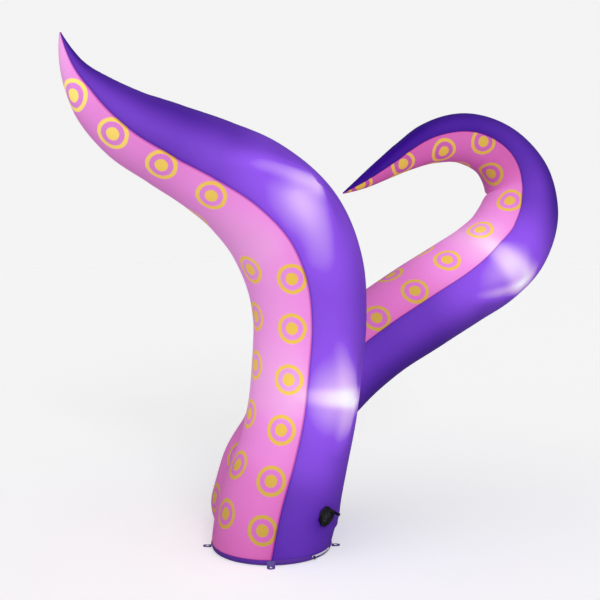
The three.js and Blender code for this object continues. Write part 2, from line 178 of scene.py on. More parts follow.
# General painted brightness along each tentacle, lower where shade is painted: side cloth, belly cloth,
# and side cloth at the back
Level = namedtuple("Level", "along side belly back")
FRONT_LEVELS = table(
    Level,
    (0, 0.22, 0.22, 0.17),
    (0.25, 0.25, 0.32, 0.20),
    (0.45, 0.42, 0.45, 0.26),
    (0.7, 0.46, 0.54, 0.32),
    (1.2, 0.49, 0.55, 0.30),
    (1.45, 0.54, 0.56, 0.38),
    (1.6, 0.54, 0.58, 0.38),
    (1.9, 0.49, 0.56, 0.30),
    (2.1, 0.40, 0.54, 0.15),
    (2.3, 0.32, 0.50, 0.10),
    (2.6, 0.34, 0.52, 0.12),
    (2.98, 0.26, 0.70, 0.06),
)
REAR_LEVELS = table(
    Level,
    (0, 0.26, 0.28, 0.20),
    (0.5, 0.30, 0.34, 0.20),
    (1.0, 0.22, 0.26, 0.08),
    (1.4, 0.28, 0.31, 0.10),
    (1.7, 0.43, 0.48, 0.17),
    (1.9, 0.43, 0.56, 0.26),
    (2.2, 0.42, 0.50, 0.27),
    (2.5, 0.27, 0.44, 0.0),
    (2.8, 0.18, 0.20, 0.06),
    (3.1, 0.12, 0.25, 0.02),
    (3.5, 0.10, 0.18, 0.0),
    (3.98, 0.04, 0.16, 0.0),
)

# Creases in the cloth: from, to, depth, reach, how much painted light makes the belly side of it lighter
# and how much painted shade makes the other side darker
Fold = namedtuple("Fold", "along degrees to_along to_degrees depth reach light shade")
FRONT_FOLDS = table(
    Fold,
    (1.68, 137, 2.03, 104, 0.0030, 0.045, 0.02, 0.06),
    (1.66, 134, 1.48, 114, 0.0035, 0.050, 0.02, 0.13),
    (1.66, 137, 1.36, 145, 0.0025, 0.050, 0.04, 0.06),
    (1.68, 138, 1.86, 146, 0.0025, 0.035, 0.05, 0.03),
    (1.66, 124, 1.80, 88, 0.0015, 0.030, 0.02, 0.03),
    (0.722, 142, 0.712, 70, 0.0012, 0.040, 0.07, 0.03),
    (0.79, 134, 1.02, 120, 0.0020, 0.050, 0.10, 0.06),
    (0.73, 134, 0.50, 130, 0.0020, 0.070, 0.14, 0.04),
    (1.68, -130, 2.03, -99, 0.0030, 0.055, 0.10, 0.18),
    (1.66, -130, 1.45, -108, 0.0035, 0.060, 0.20, 0.10),
)
REAR_FOLDS = table(
    Fold,
    (2.05, 137, 2.15, 98, 0.0030, 0.040, 0.03, 0.02),
    (2.04, 142, 1.74, 106, 0.0030, 0.040, 0.03, 0.12),
    (2.04, 142, 1.78, 136, 0.0025, 0.035, 0.06, 0.03),
    (2.10, 142, 2.26, 128, 0.0025, 0.035, 0.06, 0.03),
    (2.575, -60, 2.59, 62, 0.0300, 0.120, 0.0, 0.14),
    (2.05, -137, 2.15, -98, 0.0030, 0.040, 0.08, 0.10),
)

# Ties that hold a lamp against the cloth from inside
Tie = namedtuple("Tie", "along degrees")
FRONT_TIES = table(Tie, (1.675, 136), (1.70, -136), (0.76, 132), (0.76, -132))
REAR_TIES = table(Tie, (2.07, 141), (2.06, -141))

# The round feet and the turned-up edge of the ground panel, in millimetres
Foot = namedtuple("Foot", "x y radius")
FEET = {"front": Foot(-5, 0, 294), "rear": Foot(155, 325, 325)}
FootStep = namedtuple("FootStep", "inset height")
FOOT_STEPS = table(
    FootStep, (13, 0), (8, 1.6), (4.4, 5), (2.2, 10), (1.0, 16), (0.3, 22), (0, 27.7)
)
GROUND_CLOTH = 1.6
BASE_EDGE = 27.7  # the panel's top edge, just under the tubes' hem
PUCKER_FROM, PUCKER_TO = 1, 12  # its wall puckers more and more between these heights

# Ground tabs, each on one of the 48 facets of a foot, counted from +X, their ends folded over
TabPlace = namedtuple("TabPlace", "name foot facet")
TABS = table(
    TabPlace,
    ("left", "front", 21),
    ("front", "front", 33),
    ("right", "front", 45),
    ("back", "rear", 3),
)
FACET = 7.5
TAB_WIDTH = 38
TAB_THICKNESS = 1.5
TAB_TOP = 25  # height of its upper end on the wall
TAB_BEND = 4.5  # radius
TAB_GAP = 0.3  # between the tab and the wall
TAB_REACH = 43  # out from the wall
TAB_EYELET = 21.5  # the eyelet's middle, out from the wall
TAB_HOLE = 7.2  # radius
TAB_HEM = 9  # length that is folded over
TAB_HEM_STEP = 0.6  # half the length over which the fold rises to double thickness
# Rolled eyelet: half section, radius and height
EYELET_SECTION = (
    (6.0, 0.0), (6.0, 1.9), (6.4, 2.5), (7.5, 2.85), (9.2, 2.75), (10.6, 2.35), (11.0, 1.95),
    (10.6, 1.8), (7.3, 1.8), (7.0, 1.5), (7.0, 0.0),
)

# Zip on the front foot: bearings from the foot's belly side, and heights
ZIP_FROM, ZIP_TO = 108.75, 138.75
ZIP_LOW, ZIP_HIGH = 14.0, 22.5
ZIP_LIFT = 0.9  # the tape's outer face, out from the ground panel
ZIP_CROWN = 0.5
ZIP_THICKNESS = 1.1
TOOTH_STEP = 2.6
TOOTH_SIZE = (1.5, 1.5, 3.2)
TOOTH_LIFT = 1.9
TOOTH_STAGGER = 0.35
TOOTH_MARGIN = 1.5  # degrees of tape left bare at each end
SLIDER_BEARING = 110.5
SLIDER_LIFT = 4.2
PULL_TILT = 0.12  # radians

# Blower, with its mouth up and the cloth at height 0: half section, radius and height
BLOWER_HEIGHT = 197
BLOWER_BEARING = 116.5  # from the front belly's middle
BLOWER_DROOP = 21  # its mouth points down by this
HOUSING_SECTION = (
    (0, -120), (38, -120), (40.8, -118.7), (42, -116), (42, -34), (43, -32), (45.2, -30.8),
    (46, -29), (46, -7), (44.6, -5.5), (44.6, 3), (46, 4.5), (46, 12), (45.3, 14), (43.6, 15),
    (40.5, 15), (38.7, 14.4), (38, 13), (38, 9), (36.5, 7.4), (29, 7), (27, 6.2), (27, -108),
    (0, -108),
)
MOTOR_SECTION = (
    (0, -107.5), (26.5, -107.5), (26.5, 0), (25.5, 3), (25.5, 4), (24, 5.6), (15, 6.6),
    (14, 5.4), (9, 5.4), (8, 7), (4.5, 7.4), (0, 7.5),
)
COLLAR_RADIUS, MOUTH_RADIUS = 46, 38
COLLAR_HOLE_GAP = 0.6  # between the collar and the cloth's hole, and under the clip
GUARD_HUB, GUARD_RINGS, GUARD_EDGE = 8, (17, 28), 36.6
HUB_SECTION = ((0, -1.4), (7.2, -1.4), (8, -0.6), (8, 0.4), (7, 1.2), (0, 1.6))
GUARD_RIM = 11  # height of the guard's edge
GUARD_CROWN = 2.2  # how much higher its middle is
GUARD_WIRE = 1.2
WIRE_SIDES = 8
GUARD_SPOKES = 12
SPOKE_WIDTH, SPOKE_THICKNESS = 1.8, 1.6
GRIP_RIBS = 36
GRIP_SIZE = (1.6, 3.0, 6.4)
GRIP_HEIGHT = 8.2
# Clip on the collar: side outline, out from the collar and along its axis
CLIP_OUTLINE = ((0, -10), (5, -10), (5, 21), (11, 26), (9, 29), (0, 24))
CLIP_WIDTH = 15
CLIP_BEARING = 25
CLIP_BASE = 11
CLIP_ROUNDING = 0.8

# How the cloth is drawn in or puckered, in metres: depths, widths of a dent, and reaches
THIN_RADIUS = 0.08  # seams flatten out where a tube is thinner than this
SEAM_WIDTH, SEAM_REACH, SEAM_GATHER = 0.009, 0.035, 1.6
JOIN_DEPTH, JOIN_WIDTH, JOIN_REACH, JOIN_GATHER = 0.004, 0.011, 0.04, 1.5
HEM_DEPTH, HEM_WIDTH, HEM_REACH, HEM_PUCKER = 0.0030, 0.009, 0.035, 0.0022
TAB_FLATTENS = 4.5  # degrees to each side of a tab
SWELL_HEIGHT, SWELL_COUNT = 0.0016, 3.1  # soft unevenness, in waves a metre
FOLD_WIDTH, RIDGE_HEIGHT, RIDGE_AWAY, RIDGE_WIDTH = 0.008, 0.002, 0.022, 0.014
TIE_DEPTH, TIE_WIDTH, TIE_PUCKER, TIE_REACH, TIE_RANGE = 0.005, 0.012, 0.0026, 0.035, 0.16
COLLAR_DEPTH, COLLAR_WIDTH, COLLAR_PUCKER, COLLAR_REACH = 0.003, 0.008, 0.0016, 0.02
COLLAR_FROM, COLLAR_TO = 0.04, 0.2

# Painted shade on the cloth's colour: darker beside a seam, and at the back of a tube
BELLY_SEAM_SHADE, SIDE_SEAM_SHADE, SEAM_SHADE_REACH = 0.11, 0.07, 0.045
BACK_FROM, BACK_TO = 90, 138
LAMP_FALL = 1.5
STREAK_NARROWING = 0.4
CREASE_EDGE = 0.012

# Tints that the cloth's colour is multiplied by
# The seam allowance behind the cloth: the painted shade it casts in the light from inside
BELLY_ALLOWANCE_SHADE = (0.92, 0.46, 0.82)  # seam allowance behind the belly cloth
SIDE_ALLOWANCE_SHADE = (0.86, 0.84, 0.95)  # seam allowance behind the side cloth
RING_INSIDE = (0.80, 0.78, 0.94)  # cloth between a sucker's ring and its dot
STITCH_TINT = (0.72, 0.66, 0.80)
# Painted shade in the crease right at a seam
SEAM_CREASE_SHADE = (0.55, 0.45, 0.62)
FLECK_TINT = (0.95, 0.95, 0.97)

# Studio: bearings and heights in degrees, the camera's place round the front foot and its aim
CAMERA_BEARING, CAMERA_AIM, CAMERA_DIP = 22, 23.68, 4.2
CAMERA_RANGE = 200
SENSOR_WIDTH = 36
FLOOR_RADIUS, FLOOR_DROP = 40, 0.0002
BRIGHT_SIDE = (-0.36, -0.92, -0.12)
LIGHT_AWAY = 5


# ---- Sizes and colours that a user would change ----


def colour_setting(name, description, default):
    return FloatVectorProperty(
        name=name, description=description, subtype="COLOR", size=3, default=default
    )


def length_setting(name, description, default):
    return FloatProperty(name=name, description=description, default=default, unit="LENGTH")


def strength_setting(name, description, default):
    return FloatProperty(name=name, description=description, default=default)


class ClothSettings(PropertyGroup):
    """Sizes and colours of the sewn cloth"""

    thickness: length_setting("Thickness", "Thickness of a cloth panel", 0.001)
    step: length_setting("Mesh Step", "Length of one face along a tube", 0.010)
    allowance: length_setting("Seam Allowance", "Width of cloth turned in along a seam", 0.013)
    seam_depth: length_setting("Seam Depth", "How far a seam is pulled in below the cloth", 0.0025)
    gather: length_setting("Gather", "Height of the puckers beside a seam", 0.0011)
    # The belly and side colours are painted copies of one cloth, from unlit to lit: they stand for light
    # from lamps inside, which are not built, and for shade
    belly_dark: colour_setting("Belly, Unlit", "Belly cloth away from the lamps", (0.60, 0.085, 0.35))
    belly_mid: colour_setting("Belly", "Belly cloth with some light behind it", (0.68, 0.228, 0.60))
    belly_light: colour_setting("Belly, Well Lit", "Belly cloth near a lamp", (0.66, 0.46, 0.62))
    belly_bright: colour_setting("Belly, Lit", "Belly cloth next to a lamp", (0.69, 0.80, 0.74))
    side_dark: colour_setting("Side, Unlit", "Side cloth away from the lamps", (0.032, 0.001, 0.24))
    side_mid: colour_setting("Side", "Side cloth with some light behind it", (0.27, 0.085, 0.78))
    side_light: colour_setting("Side, Well Lit", "Side cloth near a lamp", (0.68, 0.45, 0.88))
    side_bright: colour_setting("Side, Lit", "Side cloth next to a lamp", (0.87, 0.84, 0.97))
    ink: colour_setting("Sucker Ink", "Printed colour of the suckers", (0.67, 0.425, 0.072))
    # The ink's lit colour is a painted light copy of the print
    ink_bright: colour_setting(
        "Sucker Ink, Lit", "Printed colour of the suckers where a lamp is near", (0.74, 0.62, 0.17)
    )
    ring_radius: length_setting("Sucker Radius", "Outer radius of a ring", 0.070)
    ring_band: length_setting("Ring Width", "Width of a ring's band", 0.0175)
    dot_radius: length_setting("Dot Radius", "Radius of a sucker's dot", 0.029)


class FittingSettings(PropertyGroup):
    """Sizes and colours of the blower, tabs and zip"""

    blower_colour: colour_setting("Blower", "Colour of the blower's moulding", (0.004, 0.004, 0.005))
    tab_colour: colour_setting("Tabs", "Colour of the ground tabs", (0.12, 0.065, 0.36))
    metal_colour: colour_setting("Eyelets", "Colour of the metal", (0.88, 0.87, 0.92))
    zip_colour: colour_setting("Zip", "Colour of the zip's tape", (0.86, 0.83, 0.95))
    stitch: length_setting("Stitch", "Length of one stitch", 0.004)


class StudioSettings(PropertyGroup):
    """Floor, lights and camera"""

    floor_colour: colour_setting("Floor", "Colour of the floor", (0.93, 0.93, 0.94))
    key_power: strength_setting("Key Light", "Strength of the large soft light", 1.45)
    fill_power: strength_setting("Fill Light", "Strength of the second soft light", 0.25)
    floor_lift: strength_setting("Floor Lift", "Extra brightness of the floor itself", 0.36)
    backdrop: strength_setting("Backdrop", "Brightness of the far background", 0.90)
    ambient: strength_setting("Ambient", "Strength of light from all round", 0.50)
    camera_distance: length_setting("Camera Distance", "From the front foot, over the ground", 4.6)
    camera_height: length_setting("Camera Height", "Above the ground", 1.548)
    lens: strength_setting("Lens", "Focal length in millimetres", 57.3)


# ---- Tubes ----


def smooth_column(lengths, values):
    """A smooth curve through a column of values, as in the solid model."""
    steps = [b - a for a, b in zip(lengths, lengths[1:])]
    rises = [(b - a) / step for a, b, step in zip(values, values[1:], steps)]
    inner = [
        (rises[i - 1] * steps[i] + rises[i] * steps[i - 1]) / (steps[i] + steps[i - 1])
        for i in range(1, len(steps))
    ]
    slopes = [2 * rises[0] - inner[0], *inner, 2 * rises[-1] - inner[-1]]

    def value(along):
        k = next((i for i, length in enumerate(lengths[1:]) if length >= along), len(steps) - 1)
        t = (along - lengths[k]) / steps[k]
        s = 1 - t
        return (
            values[k] * (1 + 2 * t) * s * s
            + values[k + 1] * t * t * (3 - 2 * t)
            + steps[k] * t * s * (slopes[k] * s - slopes[k + 1] * t)
        )

    return value


def smooth(value, low, high):
    """0 below low, 1 above high, and a smooth step between them."""
    share = min(1.0, max(0.0, (value - low) / (high - low)))
    return share * share * (3 - 2 * share)


def bell(distance, width):
    """1 at a line, and less to both sides of it."""
    return math.exp(-((distance / width) ** 2))


def decay(distance, reach):
    """1 at a line, and less the further away from it, fast at first."""
    return math.exp(-distance / reach)


def level_at(levels, along):
    """A row of levels at a distance along the tube, between the rows of a short table."""
    for low, high in zip(levels, levels[1:]):
        if along <= high.along:
            share = smooth(along, low.along, high.along)
            return Level(*(a + (b - a) * share for a, b in zip(low, high)))
    return levels[-1]


FoldPlace = namedtuple("FoldPlace", "share off length")


def turned(degrees, start):
    """Degrees from start, the short way round."""
    return (degrees - start + 180) % 360 - 180


def fold_place(fold, along, degrees, radius):
    """How far along a crease a place is, from 0 to 1, how far to its belly side, and its length."""
    round_ = math.radians(fold.to_degrees - fold.degrees) * radius
    rise = fold.to_along - fold.along
    length = math.hypot(round_, rise)
    u = math.radians(turned(degrees, fold.degrees)) * radius
    v = along - fold.along
    off = (u * rise - v * round_) / length
    away = -off if rise > 0 else off
    share = (u * round_ + v * rise) / length / length
    return FoldPlace(share, away if fold.degrees > 0 else -away, length)


def fold_taper(share):
    """1 on a crease, fading out just before its start and over its second half."""
    if share < 0:
        return bell(share, 0.12)
    return math.exp(-((share / 0.75) ** 4))


Frame = namedtuple("Frame", "centre radius belly near direction")


class Tube:
    """One tentacle: its smooth tube, the lamps whose light is painted on it, ties and printed suckers.
    """

    def __init__(
        self, name, sections, lamps, streaks, levels, folds, ties, suckers, ring, allowance
    ):
        self.name = name
        points = [Vector((s.x, s.y, s.z)) * MM for s in sections]
        lengths = [0.0]
        for a, b in zip(points, points[1:]):
            lengths.append(lengths[-1] + (b - a).length)
        columns = [[p[k] for p in points] for k in range(3)]
        columns.append([s.radius * MM for s in sections])
        columns.append([s.twist for s in sections])
        self.columns = [smooth_column(lengths, column) for column in columns]
        self.length = lengths[-1]
        self.levels = levels
        self.lamps = lamps
        self.streaks = streaks
        self.folds = folds
        self.ring = ring
        self.allowance = allowance
        self.ties = [self.point(tie.along, tie.degrees) for tie in ties]
        self.suckers = [self.sucker_frame(s) for s in suckers]

    def centre(self, along):
        return Vector([column(along) for column in self.columns[:3]])

    def frame(self, along):
        ahead = self.centre(min(along + MM, self.length)) - self.centre(max(along - MM, 0))
        share = smooth(along, 0, LEVEL_LENGTH)
        direction = Vector((0, 0, 1)).lerp(ahead.normalized(), share).normalized()
        far = (Vector((0, 1, 0)) - direction * direction.y).normalized()
        belly = direction.cross(far)
        near = -far
        twist = math.radians(self.columns[4](along))
        centre = self.centre(along)
        if along == 0:
            centre.z = HEM_HEIGHT
        return Frame(
            centre,
            self.columns[3](along),
            belly * math.cos(twist) + near * math.sin(twist),
            near * math.cos(twist) - belly * math.sin(twist),
            direction,
        )

    def point(self, along, degrees, lift=0.0):
        return on_frame(self.frame(along), degrees, lift)

    def sucker_frame(self, sucker):
        """The sucker's middle, with the directions round and along the cloth there."""
        middle = self.point(sucker.along, sucker.degrees)
        frame_ = self.frame(sucker.along)
        outward = (middle - frame_.centre).normalized()
        up = self.point(min(self.length, sucker.along + 0.02), sucker.degrees)
        up = (up - self.point(sucker.along - 0.02, sucker.degrees)).normalized()
        outward = (outward - up * outward.dot(up)).normalized()
        return middle, up.cross(outward).normalized(), up

    def glow(self, along, degrees, radius, belly, seam):
        """How much painted light the cloth has, from 0 to 1: light of lamps inside it, which are not
        built, with painted shade at the back of the tube, beside seams, on one side of creases and along
        stretches in shade.
        """
        row = level_at(self.levels, along)
        turn = 180 - abs(180 - degrees % 360)
        backward = smooth(turn, BACK_FROM, BACK_TO)
        level = row.belly if belly else row.side + (row.back - row.side) * backward
        level -= (BELLY_SEAM_SHADE if belly else SIDE_SEAM_SHADE) * decay(seam, SEAM_SHADE_REACH)
        for lamp in self.lamps:
            level += lamp_light(lamp, along, degrees, radius)
        for streak in self.streaks:
            level += streak_light(streak, along, degrees, radius)
        for fold in self.folds:
            level += fold_light(fold, along, degrees, radius)
        return min(max(level, 0.0), 1.0)


def lamp_light(lamp, along, degrees, radius):
    """Painted light from a lamp that is not built, which falls off as its distance behind the cloth
    grows.
    """
    away = along - lamp.along
    up = away / (lamp.up if away > 0 else lamp.down)
    across = math.radians(turned(degrees, lamp.degrees)) * radius / lamp.across
    return lamp.strength / (1 + up * up + across * across) ** LAMP_FALL


def streak_light(streak, along, degrees, radius):
    """Painted light along a stretched line of cloth, which fades and narrows away from its tie."""
    place = fold_place(streak, along, degrees, radius)
    share = min(1.0, max(0.0, place.share))
    away = math.hypot(place.off, (place.share - share) * place.length)
    width = streak.width * (1 - STREAK_NARROWING * share)
    return streak.strength * (1 - share * share) * math.exp(-((away / width) ** 3))


def fold_light(fold, along, degrees, radius):
    """A crease's painted lighter side and painted darker side."""
    place = fold_place(fold, along, degrees, radius)
    taper = fold_taper(place.share) * decay(abs(place.off), fold.reach)
    lit = 0.5 + 0.5 * math.tanh(place.off / CREASE_EDGE)
    return taper * (fold.light * lit - fold.shade * (1 - lit))


def on_frame(frame_, degrees, lift=0.0):
    angle = math.radians(degrees)
    outward = frame_.belly * math.cos(angle) + frame_.near * math.sin(angle)
    return frame_.centre + outward * (frame_.radius + lift)


def belly_edge(radius):
    thinness = (THIN_FROM_RADIUS - radius) / (THIN_FROM_RADIUS - THIN_TO_RADIUS)
    return BELLY_HALF_ANGLE + THIN_BELLY_EXTRA * min(1.0, max(0.0, thinness))


FRONT = Tube(
    "front",
    FRONT_SECTIONS,
    FRONT_LAMPS,
    FRONT_STREAKS,
    FRONT_LEVELS,
    FRONT_FOLDS,
    FRONT_TIES,
    FRONT_SUCKERS,
    ring=0.072,
    allowance=0.0075,
)
REAR = Tube(
    "rear",
    REAR_SECTIONS,
    REAR_LAMPS,
    REAR_STREAKS,
    REAR_LEVELS,
    REAR_FOLDS,
    REAR_TIES,
    REAR_SUCKERS,
    ring=0.076,
    allowance=0.004,
)
TUBES = {"front": FRONT, "rear": REAR}
OTHER = {"front": REAR, "rear": FRONT}


def blower_place():
    """The blower's middle on the cloth, with its axis pointing out of its mouth."""
    low, high = 0.0, 0.6
    for _ in range(40):
        along = (low + high) / 2
        if FRONT.centre(along).z < BLOWER_HEIGHT * MM:
            low = along
        else:
            high = along
    centre, radius = FRONT.centre(low), FRONT.columns[3](low)
    angle, droop = math.radians(BLOWER_BEARING), math.radians(BLOWER_DROOP)
    outward = Vector((-math.cos(angle), -math.sin(angle), 0))
    axis = outward * math.cos(droop) - Vector((0, 0, 1)) * math.sin(droop)
    right = Vector((0, 0, 1)).cross(axis).normalized()
    turn = Matrix((right, axis.cross(right), axis)).transposed().to_4x4()
    return Matrix.Translation(centre + outward * radius) @ turn


BLOWER_PLACE = blower_place()
BLOWER_MIDDLE = BLOWER_PLACE.translation

# ---- Mesh helpers ----


def link(mesh, name):
    obj = bpy.data.objects.new(name, mesh)
    bpy.context.scene.collection.objects.link(obj)
    return obj


def new_shape():
    """An empty mesh with the flat map that the materials read."""
    bm = bmesh.new()
    bm.loops.layers.uv.new("Cloth")
    return bm


def object_from(bm, name, rounded=True):
    mesh = bpy.data.meshes.new(name)
    bm.to_mesh(mesh)
    bm.free()
    for polygon in mesh.polygons:
        polygon.use_smooth = rounded
    return link(mesh, name)


def cylinder(name, radius, depth, segments, matrix):
    """A closed cylinder about Z, placed by a matrix, to cut or join with."""
    bm = bmesh.new()
    bmesh.ops.create_cone(
        bm, cap_ends=True, segments=segments, radius1=radius, radius2=radius, depth=depth
    )
    bmesh.ops.transform(bm, matrix=matrix, verts=bm.verts)
    return object_from(bm, name)


def apply_modifiers(obj):
    """Puts the modifiers' result into the mesh."""
    depsgraph = bpy.context.evaluated_depsgraph_get()
    mesh = bpy.data.meshes.new_from_object(obj.evaluated_get(depsgraph))
    old = obj.data
    obj.modifiers.clear()
    obj.data = mesh
    bpy.data.meshes.remove(old)


def thicken(obj, thickness, offset=-1):
    """Gives a single sheet its thickness: inwards, or outwards with an offset of 1."""
    shell = obj.modifiers.new("Thickness", "SOLIDIFY")
    shell.thickness = thickness
    shell.offset = offset
    apply_modifiers(obj)


def cut(obj, tools, operation="DIFFERENCE"):
    """Cuts the tools away from a closed mesh, or joins them to it."""
    for tool in tools:
        modifier = obj.modifiers.new("Cut", "BOOLEAN")
        modifier.operation = operation
        modifier.solver = "MANIFOLD"
        modifier.object = tool
    apply_modifiers(obj)


def remove(obj):
    mesh = obj.data
    bpy.data.objects.remove(obj)
    bpy.data.meshes.remove(mesh)


def keep_largest(obj):
    """Drops the small scraps that a cut leaves."""
    bm = bmesh.new()
    bm.from_mesh(obj.data)
    groups = []
    left = set(bm.faces)
    while left:
        group, edge = set(), [left.pop()]
        while edge:
            face = edge.pop()
            group.add(face)
            for side in face.edges:
                for other in side.link_faces:
                    if other in left:
                        left.discard(other)
                        edge.append(other)
        groups.append(group)
    groups.sort(key=len)
    scraps = [face for group in groups[:-1] for face in group]
    if scraps:
        bmesh.ops.delete(bm, geom=scraps, context="FACES")
        bm.to_mesh(obj.data)
    bm.free()


def mark_edges(obj):
    """Stores how sharply the surface turns at each corner, for wear along edges."""
    bm = bmesh.new()
    bm.from_mesh(obj.data)
    bm.normal_update()
    layer = bm.verts.layers.float.new("edge")
    for vert in bm.verts:
        turns = [edge.calc_face_angle_signed(0.0) for edge in vert.link_edges if edge.is_manifold]
        vert[layer] = min(1.0, max(0.0, max(turns, default=0.0) / 0.6))
    bm.to_mesh(obj.data)
    bm.free()


def finish_piece(obj, material, slot, *nodes, sharp=35):
    """Gives a piece its material, smooth shading and its place on the body, and hides the solids it
    stands for.
    """
    obj.data.materials.clear()
    obj.data.materials.append(material)
    for polygon in obj.data.polygons:
        polygon.use_smooth = True
        polygon.material_index = 0
    obj.data.set_sharp_from_angle(angle=math.radians(sharp))
    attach(obj, "root")
    if nodes:
        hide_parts(*nodes)
    return obj


def tube_grid(columns, rows, place, layers=()):
    """A grid of faces: column i round the tube, row j along it, each corner put by place."""
    bm = bmesh.new()
    for layer in layers:
        bm.verts.layers.float.new(layer)
    bm.loops.layers.uv.new("Cloth")
    bm.loops.layers.uv.new("Sucker")
    bmesh.ops.create_grid(bm, x_segments=columns, y_segments=rows, size=1)
    at = {}
    for vert in bm.verts:
        i = round((vert.co.x + 1) / 2 * columns)
        j = round((vert.co.y + 1) / 2 * rows)
        at[i, j] = vert
    for (i, j), vert in at.items():
        vert.co = place(i, j)
    return bm, at


def closed_tube(tube, lift, rows=200, columns=96):
    """The whole tube as one closed mesh, to cut the other tentacle's cloth."""
    frames = [tube.frame(tube.length * j / rows) for j in range(rows + 1)]
    low = frames[0]._replace(centre=Vector((frames[0].centre.x, frames[0].centre.y, -0.02)))
    frames.insert(0, low)
    bm, at = tube_grid(columns, rows + 1, lambda i, j: on_frame(frames[j], 360 * i / columns, lift))
    bmesh.ops.remove_doubles(bm, verts=bm.verts, dist=1e-6)
    ends = [edge for edge in bm.edges if edge.is_boundary]
    bmesh.ops.holes_fill(bm, edges=ends, sides=0)
    bmesh.ops.recalc_face_normals(bm, faces=bm.faces)
    return bm


def tree_of(tube):
    """The plain tube, to measure distances to."""
    bm = closed_tube(tube, 0.0, rows=160, columns=72)
    bm.verts.ensure_lookup_table()
    tree = BVHTree.FromBMesh(bm)
    bm.free()
    return tree


TREES = {name: tree_of(tube) for name, tube in TUBES.items()}


def gap_to(tree, point):
    """Distance from a point to a tube's cloth, below zero inside the tube."""
    place, normal, _, distance = tree.find_nearest(point)
    return math.copysign(distance, (point - place).dot(normal))


def ripple(tube_name, along, across):
    """A value from -1 to 1 that puckers the cloth across a seam."""
    offset = 7.3 if tube_name == "front" else 31.7
    coarse = noise.noise(Vector((along * 46, offset, across * 4)))
    fine = noise.noise(Vector((along * 95, offset + 5, across * 9)))
    return 0.7 * coarse + 0.4 * fine


def hem_offset(foot, bearing, away):
    """How far the cloth at a foot's hem is pulled in, and its puckers, which the tabs flatten."""
    pucker = noise.noise(Vector((bearing / 3.4, 11.0 if foot == "front" else 47.0, away * 9)))
    bearing_from_x = bearing + 180
    for tab in TABS:
        if tab.foot == foot:
            turn = turned(bearing_from_x, tab.facet * FACET)
            pucker *= 1 - bell(turn, TAB_FLATTENS)
    return HEM_PUCKER * pucker * decay(away, HEM_REACH) - HEM_DEPTH * bell(away, HEM_WIDTH)


PanelCut = namedtuple("PanelCut", "name start end belly")
PANEL_CUTS = [
    PanelCut("belly", lambda r: -belly_edge(r), belly_edge, True),
    PanelCut("side_near", belly_edge, lambda r: 180, False),
    PanelCut("side_far", lambda r: 180, lambda r: 360 - belly_edge(r), False),
]
SEAM_GAP = 0.0003
FLAPS = 2  # columns of turned-in cloth at each side of a panel
ACROSS_STEP = 1.15  # a face is this much wider than it is long
RING_ON_MAP = 0.07  # a sucker's radius on its own flat map


def relief(tube, along, degrees, radius, seam, point, tree, cloth):
    """How far the cloth stands out from the plain tube, and its distance to the nearest join."""
    gather = ripple(tube.name, along, degrees / 60) * cloth.gather
    fade = min(1.0, radius / THIN_RADIUS)
    lift = -cloth.seam_depth * fade * bell(seam, SEAM_WIDTH)
    lift += gather * fade * decay(seam, SEAM_REACH) * SEAM_GATHER
    join = gap_to(tree, point)
    lift -= JOIN_DEPTH * bell(join, JOIN_WIDTH)
    lift += gather * decay(abs(join), JOIN_REACH) * JOIN_GATHER
    lift += hem_offset(tube.name, degrees, along)
    lift += SWELL_HEIGHT * fade * noise.noise(point * SWELL_COUNT + Vector((0, 0, 9)))
    for fold in tube.folds:
        lift += fold_relief(fold, along, degrees, radius)
    for middle in tube.ties:
        lift += tie_relief(point - middle)
    if tube.name == "front":
        lift += collar_relief(point - BLOWER_MIDDLE)
    return lift, min(abs(join), along + 0.004)


def fold_relief(fold, along, degrees, radius):
    """A crease's trough, with a low ridge beside it."""
    place = fold_place(fold, along, degrees, radius)
    trough = fold.depth * decay(abs(place.off), FOLD_WIDTH + 0.9 * fold.depth)
    ridge = min(RIDGE_HEIGHT, 0.5 * fold.depth) * bell(place.off - RIDGE_AWAY, RIDGE_WIDTH)
    return fold_taper(place.share) * (ridge - trough)


def tie_relief(offset):
    """The dimple at a lamp's tie, with seven puckers that run out from it."""
    away = offset.length
    if away >= TIE_RANGE:
        return 0.0
    angle = math.atan2(offset.z, offset.xy.length)
    puckers = math.cos(7 * angle + 1.2) * decay(away, TIE_REACH) * min(1, away / 0.015)
    return TIE_PUCKER * puckers - TIE_DEPTH * bell(away, TIE_WIDTH)


def collar_relief(offset):
    """The cloth drawn in round the blower's collar, with uneven gathers."""
    away = offset.length
    if not COLLAR_FROM < away < COLLAR_TO:
        return 0.0
    edge = away - (COLLAR_RADIUS + 1.5) * MM
    angle = math.atan2(offset.z, offset.x)
    gathers = math.sin(13 * angle + 2 * math.sin(3 * angle)) * decay(abs(edge), COLLAR_REACH)
    return COLLAR_PUCKER * gathers - COLLAR_DEPTH * bell(edge, COLLAR_WIDTH)


def nearest_sucker(tube, point):
    return min(tube.suckers, key=lambda s: (s[0] - point).length_squared)


def sucker_place(sucker, point):
    """Where a point of the cloth lies from a sucker's middle, flattened to the cloth."""
    middle, across, up = sucker
    away = point - middle
    flat = Vector((away.dot(across), away.dot(up)))
    if flat.length < 1e-9:
        return flat
    return flat.normalized() * away.length


# What each corner of a panel's grid knows: its place on the plain tube and on the flat cloth, and the
# values that the material reads, among them its painted light and shade
CORNER_VALUES = ("seam", "join", "glow", "tip", "allowance")
Corner = namedtuple("Corner", ("plain", "flat", *CORNER_VALUES))


